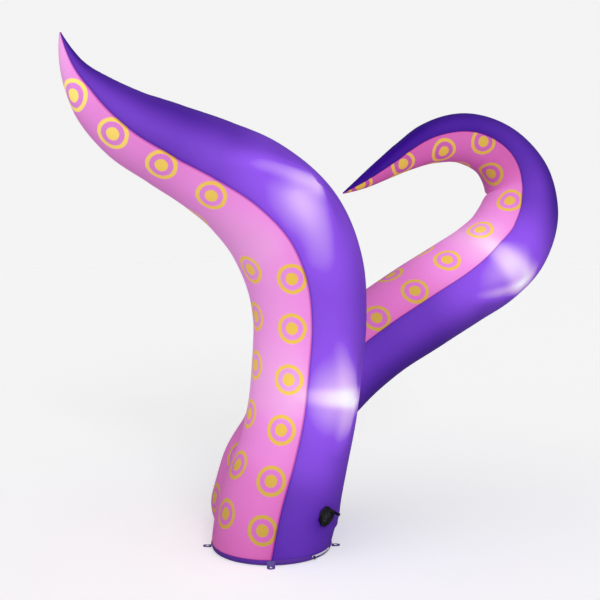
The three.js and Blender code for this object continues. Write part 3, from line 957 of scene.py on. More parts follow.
def make_panel(tube, cut_of, cloth):
    """One sewn panel as a thin closed shell, with its seam allowances turned in."""
    rows = max(40, round(tube.length / cloth.step))
    frames = [tube.frame(tube.length * j / rows) for j in range(rows + 1)]
    widest = max(frame_.radius for frame_ in frames)
    turn = cut_of.end(widest) - cut_of.start(widest)
    columns = max(12, round(math.radians(turn) * widest / cloth.step / ACROSS_STEP))
    tree = TREES[OTHER[tube.name].name]
    corners = {}

    def place(i, j):
        frame_ = frames[j]
        along = tube.length * j / rows
        half_gap = math.degrees(SEAM_GAP / 2 / frame_.radius)
        start = cut_of.start(frame_.radius) + half_gap
        end = cut_of.end(frame_.radius) - half_gap
        k = min(max(i - FLAPS, 0), columns)
        degrees = start + (end - start) * k / columns
        plain = on_frame(frame_, degrees)
        arc = math.radians(1) * frame_.radius
        seam = min(degrees - start, end - degrees) * arc
        lift, join = relief(tube, along, degrees, frame_.radius, seam, plain, tree, cloth)
        corners[i, j] = Corner(
            plain=plain,
            flat=((degrees - (0 if cut_of.belly else start)) * arc, along),
            seam=seam,
            join=join,
            glow=tube.glow(along, degrees, frame_.radius, cut_of.belly, seam),
            tip=j / rows,
            allowance=tube.allowance * min(1.0, 0.3 + frame_.radius / 0.12),
        )
        folded = max(FLAPS - i, i - FLAPS - columns, 0)
        inward = min(cloth.allowance, frame_.radius * 0.5) * folded / FLAPS
        return on_frame(frame_, degrees, lift - inward)

    bm, at = tube_grid(columns + 2 * FLAPS, rows, place, CORNER_VALUES)
    layers = {name: bm.verts.layers.float[name] for name in CORNER_VALUES}
    corner_of = {vert: corners[key] for key, vert in at.items()}
    for vert, corner in corner_of.items():
        for name, layer in layers.items():
            vert[layer] = getattr(corner, name)
    cloth_uv = bm.loops.layers.uv["Cloth"]
    sucker_uv = bm.loops.layers.uv["Sucker"]
    for face in bm.faces:
        for loop in face.loops:
            loop[cloth_uv].uv = corner_of[loop.vert].flat
        if cut_of.belly:
            middle = sum((corner_of[vert].plain for vert in face.verts), Vector()) / len(face.verts)
            sucker = nearest_sucker(tube, middle)
            for loop in face.loops:
                on_map = sucker_place(sucker, corner_of[loop.vert].plain)
                loop[sucker_uv].uv = on_map * (RING_ON_MAP / tube.ring)
    obj = object_from(bm, f"{cut_of.name}_cloth_{tube.name}")
    thicken(obj, cloth.thickness)
    return obj


def flat_size(tube, cut_of, cloth):
    """The flat cut's greatest width, its length along the middle, and its area."""
    rows = 200
    step = tube.length / rows
    width = area = length = 0.0
    for j in range(rows):
        along = (j + 0.5) * step
        frame_ = tube.frame(along)
        start, end = cut_of.start(frame_.radius), cut_of.end(frame_.radius)
        across = math.radians(end - start) * frame_.radius + 2 * cloth.allowance
        middle = (start + end) / 2
        rise = (tube.point(along + step / 2, middle) - tube.point(along - step / 2, middle)).length
        width = max(width, across)
        length += rise
        area += across * rise
    return width, length, area


# ---- Shader helpers ----


def new_material(name):
    material = bpy.data.materials.new(name)
    material.use_nodes = True
    tree = material.node_tree
    shader = tree.nodes["Principled BSDF"]
    return material, tree, shader


def feed(tree, socket, value):
    """Links a socket to another one, or sets its own value."""
    if isinstance(value, bpy.types.NodeSocket):
        tree.links.new(value, socket)
    elif socket.type == "RGBA":
        socket.default_value = (*value[:3], 1)
    else:
        socket.default_value = value


def node(tree, kind, settings=None, **inputs):
    """Adds a node, with its settings and its inputs: by name, or by number as n0, n1 and so on."""
    made = tree.nodes.new(kind)
    for key, value in (settings or {}).items():
        setattr(made, key, value)
    for key, value in inputs.items():
        numbered = key[0] == "n" and key[1:].isdigit()
        feed(tree, made.inputs[int(key[1:]) if numbered else key.replace("_", " ")], value)
    return made


def maths(tree, operation, a, b=0.0, c=0.0, clamp=False):
    return node(
        tree, "ShaderNodeMath", {"operation": operation, "use_clamp": clamp}, n0=a, n1=b, n2=c
    ).outputs[0]


def blend(tree, share, a, b, kind="MIX"):
    made = tree.nodes.new("ShaderNodeMix")
    made.data_type = "RGBA"
    made.blend_type = kind
    for index, value in ((0, share), (6, a), (7, b)):
        feed(tree, made.inputs[index], value)
    return made.outputs[2]


def tinted(tree, share, colour, tint):
    """Multiplies a colour by a tint, as far as share says."""
    return blend(tree, share, colour, blend(tree, 1.0, colour, tint, "MULTIPLY"))


def ramp(tree, value, low, high, kind="SMOOTHSTEP"):
    """0 below low and 1 above high."""
    made = node(
        tree,
        "ShaderNodeMapRange",
        {"interpolation_type": kind},
        Value=value,
        From_Min=low,
        From_Max=high,
    )
    return made.outputs["Result"]


def between(tree, share, low, high):
    """The value from low to high that a share from 0 to 1 stands for."""
    return maths(tree, "MULTIPLY_ADD", share, high - low, low)


def cloud(tree, place, size, detail=2.0):
    """A noise texture's value."""
    return node(tree, "ShaderNodeTexNoise", Vector=place, Scale=size, Detail=detail).outputs["Fac"]


def finish_shader(tree, shader, colour, rough, height, strength, depth):
    """Links the colour, the roughness and a fine surface height to a material's shader."""
    tree.links.new(colour, shader.inputs["Base Color"])
    tree.links.new(rough, shader.inputs["Roughness"])
    bump = node(tree, "ShaderNodeBump", Strength=strength, Distance=depth, Height=height)
    tree.links.new(bump.outputs["Normal"], shader.inputs["Normal"])


def shown_to_camera(tree, seen, unseen, output):
    """Shows one shader to the camera, and the other to all other rays."""
    path = node(tree, "ShaderNodeLightPath")
    mix = node(tree, "ShaderNodeMixShader", n0=path.outputs["Is Camera Ray"])
    tree.links.new(unseen.outputs[0], mix.inputs[1])
    tree.links.new(seen.outputs[0], mix.inputs[2])
    tree.links.new(mix.outputs[0], tree.nodes[output].inputs["Surface"])


def start_group(name, inputs, outputs):
    group = bpy.data.node_groups.new(name, "ShaderNodeTree")
    for label, kind, default in inputs:
        socket = group.interface.new_socket(label, in_out="INPUT", socket_type=kind)
        if default is not None:
            socket.default_value = default
    for label, kind in outputs:
        group.interface.new_socket(label, in_out="OUTPUT", socket_type=kind)
    return group, group.nodes.new("NodeGroupInput"), group.nodes.new("NodeGroupOutput")


VALUE, COLOUR, VECTOR = "NodeSocketFloat", "NodeSocketColor", "NodeSocketVector"


def weave_group():
    """Plain weave: crossed threads, with a few thicker ones."""
    group, given, out = start_group(
        "Plain Weave",
        [("Flat Place", VECTOR, None), ("Thread", VALUE, 0.0008)],
        [("Height", VALUE), ("Fleck", VALUE)],
    )
    place = split_place(group, given.outputs["Flat Place"])
    turns = maths(group, "DIVIDE", math.pi, given.outputs["Thread"])
    warp = maths(group, "SINE", maths(group, "MULTIPLY", place["X"], turns))
    weft = maths(group, "SINE", maths(group, "MULTIPLY", place["Y"], turns))
    crossed = maths(group, "MULTIPLY", warp, weft)
    fleck = cloud(group, given.outputs["Flat Place"], 420.0)
    height = maths(group, "MULTIPLY_ADD", crossed, 0.5, fleck)
    group.links.new(height, out.inputs["Height"])
    group.links.new(fleck, out.inputs["Fleck"])
    return group


# Painted light at which the cloth has its second and its third painted colour
PART_LIT, WELL_LIT = 0.55, 0.78


def painted_light_group():
    """Painted cloth colours and glow for light from inside and for shade: unlit, part lit, well lit and
    next to a lamp.
    """
    group, given, out = start_group(
        "Painted Light and Shade",
        [
            ("Glow", VALUE, 0.4),
            ("Unlit", COLOUR, (0.1, 0.1, 0.1, 1)),
            ("Part Lit", COLOUR, (0.4, 0.4, 0.4, 1)),
            ("Well Lit", COLOUR, (0.7, 0.7, 0.7, 1)),
            ("Lit", COLOUR, (1, 1, 1, 1)),
        ],
        [("Cloth", COLOUR), ("Light", COLOUR)],
    )
    glow = given.outputs["Glow"]
    lower = ramp(group, glow, 0.0, PART_LIT, "LINEAR")
    middle = ramp(group, glow, PART_LIT, WELL_LIT, "LINEAR")
    upper = ramp(group, glow, WELL_LIT, 1.0, "LINEAR")
    cloth = blend(group, lower, given.outputs["Unlit"], given.outputs["Part Lit"])
    cloth = blend(group, middle, cloth, given.outputs["Well Lit"])
    cloth = blend(group, upper, cloth, given.outputs["Lit"])
    light = blend(group, glow, (0, 0, 0), cloth)
    group.links.new(cloth, out.inputs["Cloth"])
    group.links.new(light, out.inputs["Light"])
    return group


def soft_edge(tree, inside, width):
    """1 inside an edge and 0 outside, with a soft step of a width in metres."""
    return maths(tree, "MULTIPLY_ADD", inside, 1 / width, 0.5, clamp=True)


def sucker_group():
    """A printed ring with a dot in it, from the place's distance to the sucker's middle."""
    group, given, out = start_group(
        "Printed Sucker",
        [
            ("Sucker Place", VECTOR, None),
            ("Radius", VALUE, 0.07),
            ("Band", VALUE, 0.018),
            ("Dot", VALUE, 0.028),
        ],
        [("Ink", VALUE), ("Inside", VALUE)],
    )
    wobble = cloud(group, given.outputs["Sucker Place"], 38.0, detail=1.0)
    away = node(
        group, "ShaderNodeVectorMath", {"operation": "LENGTH"}, n0=given.outputs["Sucker Place"]
    ).outputs["Value"]
    away = maths(group, "MULTIPLY_ADD", maths(group, "SUBTRACT", wobble, 0.5), 0.004, away)

    def within(edge):
        return soft_edge(group, maths(group, "SUBTRACT", edge, away), 0.0016)

    outer = within(given.outputs["Radius"])
    inner = within(maths(group, "SUBTRACT", given.outputs["Radius"], given.outputs["Band"]))
    dot = within(given.outputs["Dot"])
    band = maths(group, "SUBTRACT", outer, inner)
    group.links.new(maths(group, "ADD", band, dot, clamp=True), out.inputs["Ink"])
    group.links.new(maths(group, "SUBTRACT", inner, dot, clamp=True), out.inputs["Inside"])
    return group


# Stitches: distance of their line from the seam, thread width, and thread's share of a stitch
STITCH_LINE, THREAD_WIDTH, STITCH_SHARE = 0.0022, 0.0012, 0.72


def seam_group():
    """Masks beside a seam: the turned-in allowance behind the cloth, the stitches, and the crease right
    at the seam, where shade is painted.
    """
    group, given, out = start_group(
        "Sewn Seam",
        [
            ("Seam Distance", VALUE, 1.0),
            ("Along", VALUE, 0.0),
            ("Allowance", VALUE, 0.013),
            ("Stitch", VALUE, 0.004),
        ],
        [("Allowance", VALUE), ("Stitches", VALUE), ("Crease", VALUE)],
    )
    distance = given.outputs["Seam Distance"]
    behind = soft_edge(group, maths(group, "SUBTRACT", given.outputs["Allowance"], distance), 0.004)
    from_line = maths(group, "ABSOLUTE", maths(group, "SUBTRACT", distance, STITCH_LINE))
    line = maths(group, "LESS_THAN", from_line, THREAD_WIDTH / 2)
    count = maths(group, "DIVIDE", given.outputs["Along"], given.outputs["Stitch"])
    dash = maths(group, "LESS_THAN", maths(group, "FRACT", count), STITCH_SHARE)
    crease = maths(group, "SUBTRACT", 1.0, ramp(group, distance, 0.0, 0.004), clamp=True)
    group.links.new(behind, out.inputs["Allowance"])
    group.links.new(maths(group, "MULTIPLY", line, dash), out.inputs["Stitches"])
    group.links.new(crease, out.inputs["Crease"])
    return group


def wear_group():
    """Faint cloudy unevenness, as of handled cloth or moulding."""
    group, given, out = start_group(
        "Uneven Tone",
        [("Place", VECTOR, None), ("Size", VALUE, 9.0)],
        [("Tone", VALUE), ("Speck", VALUE)],
    )
    tone = cloud(group, given.outputs["Place"], given.outputs["Size"], detail=3.0)
    speck = cloud(group, given.outputs["Place"], 260.0)
    group.links.new(tone, out.inputs["Tone"])
    group.links.new(speck, out.inputs["Speck"])
    return group


GROUP_MAKERS = {
    "weave": weave_group,
    "light": painted_light_group,
    "sucker": sucker_group,
    "seam": seam_group,
    "tone": wear_group,
}
GROUPS = {}


def group_node(tree, name, **inputs):
    """Places a shared effect in a material."""
    if name not in GROUPS:
        GROUPS[name] = GROUP_MAKERS[name]()
    return node(tree, "ShaderNodeGroup", {"node_tree": GROUPS[name]}, **inputs)


def attribute(tree, name):
    return node(tree, "ShaderNodeAttribute", {"attribute_name": name}).outputs["Fac"]


def uv(tree, name):
    return node(tree, "ShaderNodeUVMap", {"uv_map": name}).outputs["UV"]


def own_place(tree):
    return node(tree, "ShaderNodeTexCoord").outputs["Object"]


def split_place(tree, place):
    return node(tree, "ShaderNodeSeparateXYZ", Vector=place).outputs


def print_suckers(tree, cloth, glow, colour, light):
    """Prints the rings and dots over the cloth's colour and over the painted light through it, the ink
    in painted lit and unlit copies.
    """
    sucker = group_node(
        tree,
        "sucker",
        Sucker_Place=uv(tree, "Sucker"),
        Radius=cloth.ring_radius,
        Band=cloth.ring_band,
        Dot=cloth.dot_radius,
    ).outputs
    # The ink is painted lighter where the painted light is high, and more so towards the tip
    painted_tip_light = ramp(tree, attribute(tree, "tip"), 0.55, 0.95)
    ink = group_node(
        tree,
        "light",
        Glow=maths(tree, "MULTIPLY_ADD", painted_tip_light, 0.30, glow),
        Unlit=[0.62 * c for c in cloth.ink],
        Part_Lit=cloth.ink,
        Well_Lit=[(a + b) / 2 for a, b in zip(cloth.ink, cloth.ink_bright)],
        Lit=cloth.ink_bright,
    ).outputs
    colour = tinted(tree, maths(tree, "MULTIPLY", sucker["Inside"], 0.55), colour, RING_INSIDE)
    colour = blend(tree, sucker["Ink"], colour, ink["Cloth"])
    return colour, blend(tree, sucker["Ink"], light, ink["Light"])


def cloth_material(name, shades, cloth, through, allowance_shade, printed=False):
    """Thin cloth with its weave, seams and, on the belly, its printed suckers, with painted light and
    shade from a value at each corner; it glows with that painted light though no lamp is built.
    """
    material, tree, shader = new_material(name)
    flat = uv(tree, "Cloth")
    # The painted light and shade that each corner carries, with a little random unevenness
    glow = attribute(tree, "glow")
    tone = group_node(tree, "tone", Place=own_place(tree), Size=4.0).outputs["Tone"]
    glow = maths(tree, "MULTIPLY_ADD", maths(tree, "SUBTRACT", tone, 0.5), 0.05, glow)
    dark, mid, light, bright = shades
    lit = group_node(
        tree, "light", Glow=glow, Unlit=dark, Part_Lit=mid, Well_Lit=light, Lit=bright
    ).outputs
    colour, light = lit["Cloth"], lit["Light"]
    weave = group_node(tree, "weave", Flat_Place=flat).outputs
    seam = group_node(
        tree,
        "seam",
        Seam_Distance=maths(tree, "MINIMUM", attribute(tree, "seam"), attribute(tree, "join")),
        Along=split_place(tree, flat)["Y"],
        Allowance=attribute(tree, "allowance"),
    ).outputs
    if printed:
        colour, light = print_suckers(tree, cloth, glow, colour, light)
    # Painted shade of the seam allowance behind the cloth, on its colour and on its glow
    colour = tinted(tree, seam["Allowance"], colour, allowance_shade)
    light = blend(tree, maths(tree, "MULTIPLY", seam["Allowance"], 0.4), light, (0, 0, 0))
    colour = tinted(tree, seam["Stitches"], colour, STITCH_TINT)
    # Painted shade in the crease right at a seam
    colour = tinted(tree, maths(tree, "MULTIPLY", seam["Crease"], 0.6), colour, SEAM_CREASE_SHADE)
    flecked = blend(tree, 1.0, colour, FLECK_TINT, "MULTIPLY")
    colour = blend(tree, ramp(tree, weave["Fleck"], 0.3, 0.7), flecked, colour)
    # The cloth glows with its painted light, as though lit from inside; no lamp is built
    tree.links.new(light, shader.inputs["Emission Color"])
    shader.inputs["Emission Strength"].default_value = through
    shader.inputs["Specular IOR Level"].default_value = 0.06
    rough = between(tree, ramp(tree, tone, 0.2, 0.9), 0.42, 0.54)
    height = maths(tree, "MULTIPLY_ADD", seam["Stitches"], 1.5, weave["Height"])
    finish_shader(tree, shader, colour, rough, height, strength=0.25, depth=0.0004)
    return material


# ---- Operators: cloth ----


# What is declared is the built cloth's own area, held inside that range. At these sizes it is
# inside without being held.
JOIN_OVERLAP = 0.006  # how far one tube's cloth runs into the other tube


def build_tube(tube, cloth, materials, hole=None):
    """The three panels of one tentacle, cut where the other tentacle joins it."""
    other = object_from(closed_tube(OTHER[tube.name], -JOIN_OVERLAP), "join_cutter")
    for cut_of in PANEL_CUTS:
        obj = make_panel(tube, cut_of, cloth)
        tools = [other]
        if hole is not None and cut_of.name == "side_near":
            tools.append(hole)
        cut(obj, tools)
        keep_largest(obj)
        slot = "belly_cloth" if cut_of.belly else "purple_cloth"
        finish_piece(obj, materials[cut_of.belly], slot, f"{cut_of.name}_{tube.name}")
        width, length, area = flat_size(tube, cut_of, cloth)
        shown = sum(p.area for p in obj.data.polygons) / 2
        print(
            f"{obj.name}: flat {width:.3f} x {length:.3f} m, cut {area:.2f} m2, "
            f"shown {shown:.2f} m2, {len(obj.data.polygons)} faces"
        )
    remove(other)


class INFLATABLE_OT_front_tube(Operator):
    """Sew the front tentacle's belly and side panels"""

    bl_idname = "inflatable.front_tube"
    bl_label = "Front Tentacle"

    def execute(self, context):
        cloth = context.scene.inflatable_cloth
        radius = (COLLAR_RADIUS + COLLAR_HOLE_GAP) * MM
        hole = cylinder("blower_hole", radius, 0.16, 96, BLOWER_PLACE)
        build_tube(FRONT, cloth, cloth_materials(cloth), hole)
        remove(hole)
        return {"FINISHED"}


class INFLATABLE_OT_rear_tube(Operator):
    """Sew the rear tentacle's belly and side panels"""

    bl_idname = "inflatable.rear_tube"
    bl_label = "Rear Tentacle"

    def execute(self, context):
        cloth = context.scene.inflatable_cloth
        build_tube(REAR, cloth, cloth_materials(cloth))
        return {"FINISHED"}


MATERIALS = {}


def cloth_materials(cloth):
    """The side cloth and the printed belly cloth, made once."""
    if not MATERIALS:
        MATERIALS[False] = cloth_material(
            "Purple Side Cloth",
            (cloth.side_dark, cloth.side_mid, cloth.side_light, cloth.side_bright),
            cloth,
            through=0.35,
            allowance_shade=SIDE_ALLOWANCE_SHADE,
        )
        MATERIALS[True] = cloth_material(
            "Pink Belly Cloth",
            (cloth.belly_dark, cloth.belly_mid, cloth.belly_light, cloth.belly_bright),
            cloth,
            through=0.84,
            allowance_shade=BELLY_ALLOWANCE_SHADE,
            printed=True,
        )
    return MATERIALS


# ---- Materials of the fittings ----


def scaled(colour, factor, lift=0.0):
    """A colour made darker or paler."""
    return [min(1.0, lift + factor * c) for c in colour]


def ground_cloth_material():
    """Heavier purple cloth, dusty near the ground."""
    material, tree, shader = new_material("Purple Ground Cloth")
    place = own_place(tree)
    tone = group_node(tree, "tone", Place=place, Size=7.0).outputs
    weave = group_node(tree, "weave", Flat_Place=place).outputs
    deep = blend(tree, tone["Tone"], (0.075, 0.018, 0.26), (0.115, 0.032, 0.38))
    low = maths(tree, "SUBTRACT", 1.0, ramp(tree, split_place(tree, place)["Z"], 0.0, 0.010))
    dust = maths(tree, "MULTIPLY", maths(tree, "MULTIPLY", low, tone["Speck"]), 0.4)
    colour = blend(tree, dust, deep, (0.30, 0.27, 0.30))
    shader.inputs["Specular IOR Level"].default_value = 0.25
    rough = between(tree, weave["Fleck"], 0.50, 0.65)
    finish_shader(tree, shader, colour, rough, weave["Height"], strength=0.3, depth=0.0004)
    return material


def webbing_material(name, colour, rib):
    """Narrow woven tape with ribs along it and scuffed high threads."""
    material, tree, shader = new_material(name)
    flat = uv(tree, "Cloth")
    tone = group_node(tree, "tone", Place=flat, Size=90.0).outputs
    place = split_place(tree, flat)
    turns = 2 * math.pi / rib
    ribs = maths(tree, "SINE", maths(tree, "MULTIPLY", place["Y"], turns))
    picks = maths(tree, "SINE", maths(tree, "MULTIPLY", place["X"], turns * 0.8))
    threads = between(tree, maths(tree, "MULTIPLY", ribs, picks), 0.5, 1.0)
    base = blend(tree, threads, scaled(colour, 0.62), scaled(colour, 1.15))
    worn = maths(tree, "MULTIPLY", ramp(tree, tone["Tone"], 0.5, 0.8), 0.35)
    base = blend(tree, worn, base, scaled(colour, 0.7, lift=0.25))
    rough = between(tree, threads, 0.80, 0.65)
    finish_shader(tree, shader, base, rough, threads, strength=0.5, depth=0.0004)
    return material


def moulded_material(name, colour):
    """Moulded plastic with a fine grain, dusty in places."""
    material, tree, shader = new_material(name)
    place = own_place(tree)
    tone = group_node(tree, "tone", Place=place, Size=30.0).outputs
    dust = maths(tree, "MULTIPLY", ramp(tree, tone["Tone"], 0.45, 0.8), 0.25)
    base = blend(tree, dust, colour, (0.030, 0.028, 0.032))
    scuffed = maths(tree, "MULTIPLY", attribute(tree, "edge"), tone["Speck"])
    scuffed = maths(tree, "MULTIPLY", ramp(tree, scuffed, 0.3, 0.7), 0.4)
    base = blend(tree, scuffed, base, scaled(colour, 0.9, lift=0.06))
    shader.inputs["Specular IOR Level"].default_value = 0.2
    rough = between(tree, tone["Tone"], 0.35, 0.65)
    finish_shader(tree, shader, base, rough, cloud(tree, place, 900.0), strength=0.25, depth=0.0002)
    return material


def metal_material(name, colour, roughness):
    """Plated metal with fine scratches and dulled patches."""
    material, tree, shader = new_material(name)
    place = own_place(tree)
    tone = group_node(tree, "tone", Place=place, Size=120.0).outputs
    base = blend(tree, ramp(tree, tone["Tone"], 0.4, 0.75), colour, scaled(colour, 0.72))
    bare = maths(tree, "MULTIPLY", attribute(tree, "edge"), tone["Speck"])
    base = blend(tree, ramp(tree, bare, 0.3, 0.7), base, scaled(colour, 0.6, lift=0.3))
    shader.inputs["Metallic"].default_value = 1.0
    rough = between(tree, tone["Tone"], roughness - 0.1, roughness + 0.15)
    drawn_out = node(tree, "ShaderNodeMapping", Vector=place, Scale=(1.0, 1.0, 14.0)).outputs[0]
    lines = cloud(tree, drawn_out, 400.0)
    finish_shader(tree, shader, base, rough, lines, strength=0.15, depth=0.0001)
    return material


# ---- Shapes of the fittings ----


def spun(section, steps, ring=False):
    """Spins a half section, in millimetres, about Z; a ring's section closes on itself."""
    bm = bmesh.new()
    bm.loops.layers.uv.new("Cloth")
    verts = [bm.verts.new((radius * MM, 0, height * MM)) for radius, height in section]
    pairs = list(zip(verts, verts[1:]))
    if ring:
        pairs.append((verts[-1], verts[0]))
    edges = [bm.edges.new(pair) for pair in pairs]
    bmesh.ops.spin(
        bm,
        geom=verts + edges,
        cent=(0, 0, 0),
        axis=(0, 0, 1),
        angle=2 * math.pi,
        steps=steps,
        use_merge=True,
        use_duplicate=False,
    )
    bmesh.ops.remove_doubles(bm, verts=bm.verts, dist=1e-6)
    bmesh.ops.recalc_face_normals(bm, faces=bm.faces)
    return bm


def rounded_block(bm, size, place, radius, segments=2):
    """Adds a block of a size in millimetres with rounded edges, at a place given by a matrix."""
    shape = Matrix.Diagonal((*[side * MM for side in size], 1))
    made = bmesh.ops.create_cube(bm, size=1, matrix=shape, calc_uvs=True)
    edges = {edge for vert in made["verts"] for edge in vert.link_edges}
    result = bmesh.ops.bevel(
        bm,
        geom=list(edges),
        offset=radius * MM,
        offset_type="OFFSET",
        affect="EDGES",
        segments=segments,
        profile=0.5,
        material=-1,
    )
    verts = {vert for face in result["faces"] for vert in face.verts}
    verts |= {vert for vert in made["verts"] if vert.is_valid}
    bmesh.ops.transform(bm, matrix=place, verts=list(verts))


def foot_radius(foot, height):
    """The ground panel's radius at a height, both in millimetres."""
    for low, high in zip(FOOT_STEPS, FOOT_STEPS[1:]):
        if height <= high.height:
            share = (height - low.height) / (high.height - low.height)
            return foot.radius - (low.inset + (high.inset - low.inset) * share)
    return foot.radius


def foot_point(name, bearing, height, lift=0.0):
    """A point on a foot's wall: bearing from its belly side, height and lift in millimetres."""
    foot = FEET[name]
    offset = hem_offset(name, bearing, (BASE_EDGE - height) * MM)
    reach = (foot_radius(foot, height) + lift) * MM + offset * smooth(height, PUCKER_FROM, PUCKER_TO)
    angle = math.radians(bearing)
    return Vector(
        (foot.x * MM - reach * math.cos(angle), foot.y * MM - reach * math.sin(angle), height * MM)
    )


def foot_form(foot, inset, floor, top, steps):
    """A closed round foot, standing a given inset inside the ground panel's outer face."""
    section = [(0, floor)]
    section += [(foot.radius - s.inset - inset, max(s.height, floor)) for s in FOOT_STEPS]
    section += [(foot.radius - inset, top), (0, top)]
    clean = [p for i, p in enumerate(section) if i == 0 or math.dist(p, section[i - 1]) > 0.01]
    bm = spun(clean, steps)
    bmesh.ops.translate(bm, verts=bm.verts, vec=(foot.x * MM, foot.y * MM, 0))
    return bm


def tab_bend(place):
    """Bends a flat tab: x down the foot's wall and out over the ground, z its thickness."""
    down = TAB_TOP - TAB_BEND
    arc = TAB_BEND * math.pi / 2
    s, y, t = place.x / MM, place.y / MM, place.z / MM
    if s < down:
        x, z = t, TAB_TOP - s
    elif s < down + arc:
        angle = (s - down) / TAB_BEND
        x = TAB_BEND - (TAB_BEND - t) * math.cos(angle)
        z = TAB_BEND - (TAB_BEND - t) * math.sin(angle)
    else:
        x, z = TAB_BEND + s - down - arc, t
    return Vector((x + TAB_GAP, y, z)) * MM


def tab_length():
    return TAB_TOP - TAB_BEND + TAB_BEND * math.pi / 2 + TAB_REACH - TAB_BEND - TAB_GAP


def flat_of_reach(reach):
    """Where a reach over the ground lies on the flat tab."""
    return tab_length() - TAB_REACH + reach


def tab_matrix(tab):
    foot = FEET[tab.foot]
    bearing = math.radians(tab.facet * FACET)
    reach = foot.radius * math.cos(math.radians(FACET / 2)) * MM
    place = Vector((foot.x * MM + reach * math.cos(bearing), foot.y * MM + reach * math.sin(bearing), 0))
    return Matrix.Translation(place) @ Matrix.Rotation(bearing, 4, "Z")


# ---- Operators: fittings ----


class INFLATABLE_OT_base(Operator):
    """Cut the ground panel under both feet, with its turned-up edge"""

    bl_idname = "inflatable.base"
    bl_label = "Ground Panel"

    def execute(self, context):
        steps = 288
        front, rear = FEET["front"], FEET["rear"]
        panel = object_from(foot_form(front, 0, 0, BASE_EDGE, steps), "base_cloth")
        other = object_from(foot_form(rear, 0, 0, BASE_EDGE, steps), "rear_foot")
        cut(panel, [other], "UNION")
        hollows = [
            object_from(foot_form(foot, GROUND_CLOTH, GROUND_CLOTH, 40, steps), "hollow")
            for foot in (front, rear)
        ]
        cut(panel, hollows)
        for tool in (other, *hollows):
            remove(tool)
        for vert in panel.data.vertices:
            if vert.co.z > MM:
                name = min(FEET, key=lambda n: abs(self.outside(n, vert.co)))
                foot = FEET[name]
                middle = Vector((foot.x, foot.y, 0)) * MM
                away = (vert.co - middle).xy
                if away.length > (foot.radius - 20) * MM:
                    bearing = math.degrees(math.atan2(-away.y, -away.x))
                    height = vert.co.z / MM
                    offset = hem_offset(name, bearing, (BASE_EDGE - height) * MM)
                    vert.co.xy += away.normalized() * offset * smooth(height, PUCKER_FROM, PUCKER_TO)
        finish_piece(panel, ground_cloth_material(), "purple_cloth", "base_panel")
        shown = sum(polygon.area for polygon in panel.data.polygons) / 2
        print(f"base_cloth: shown {shown:.2f} m2")
        return {"FINISHED"}

    def outside(self, name, place):
        foot = FEET[name]
        return (place.xy - Vector((foot.x, foot.y)) * MM).length - foot.radius * MM


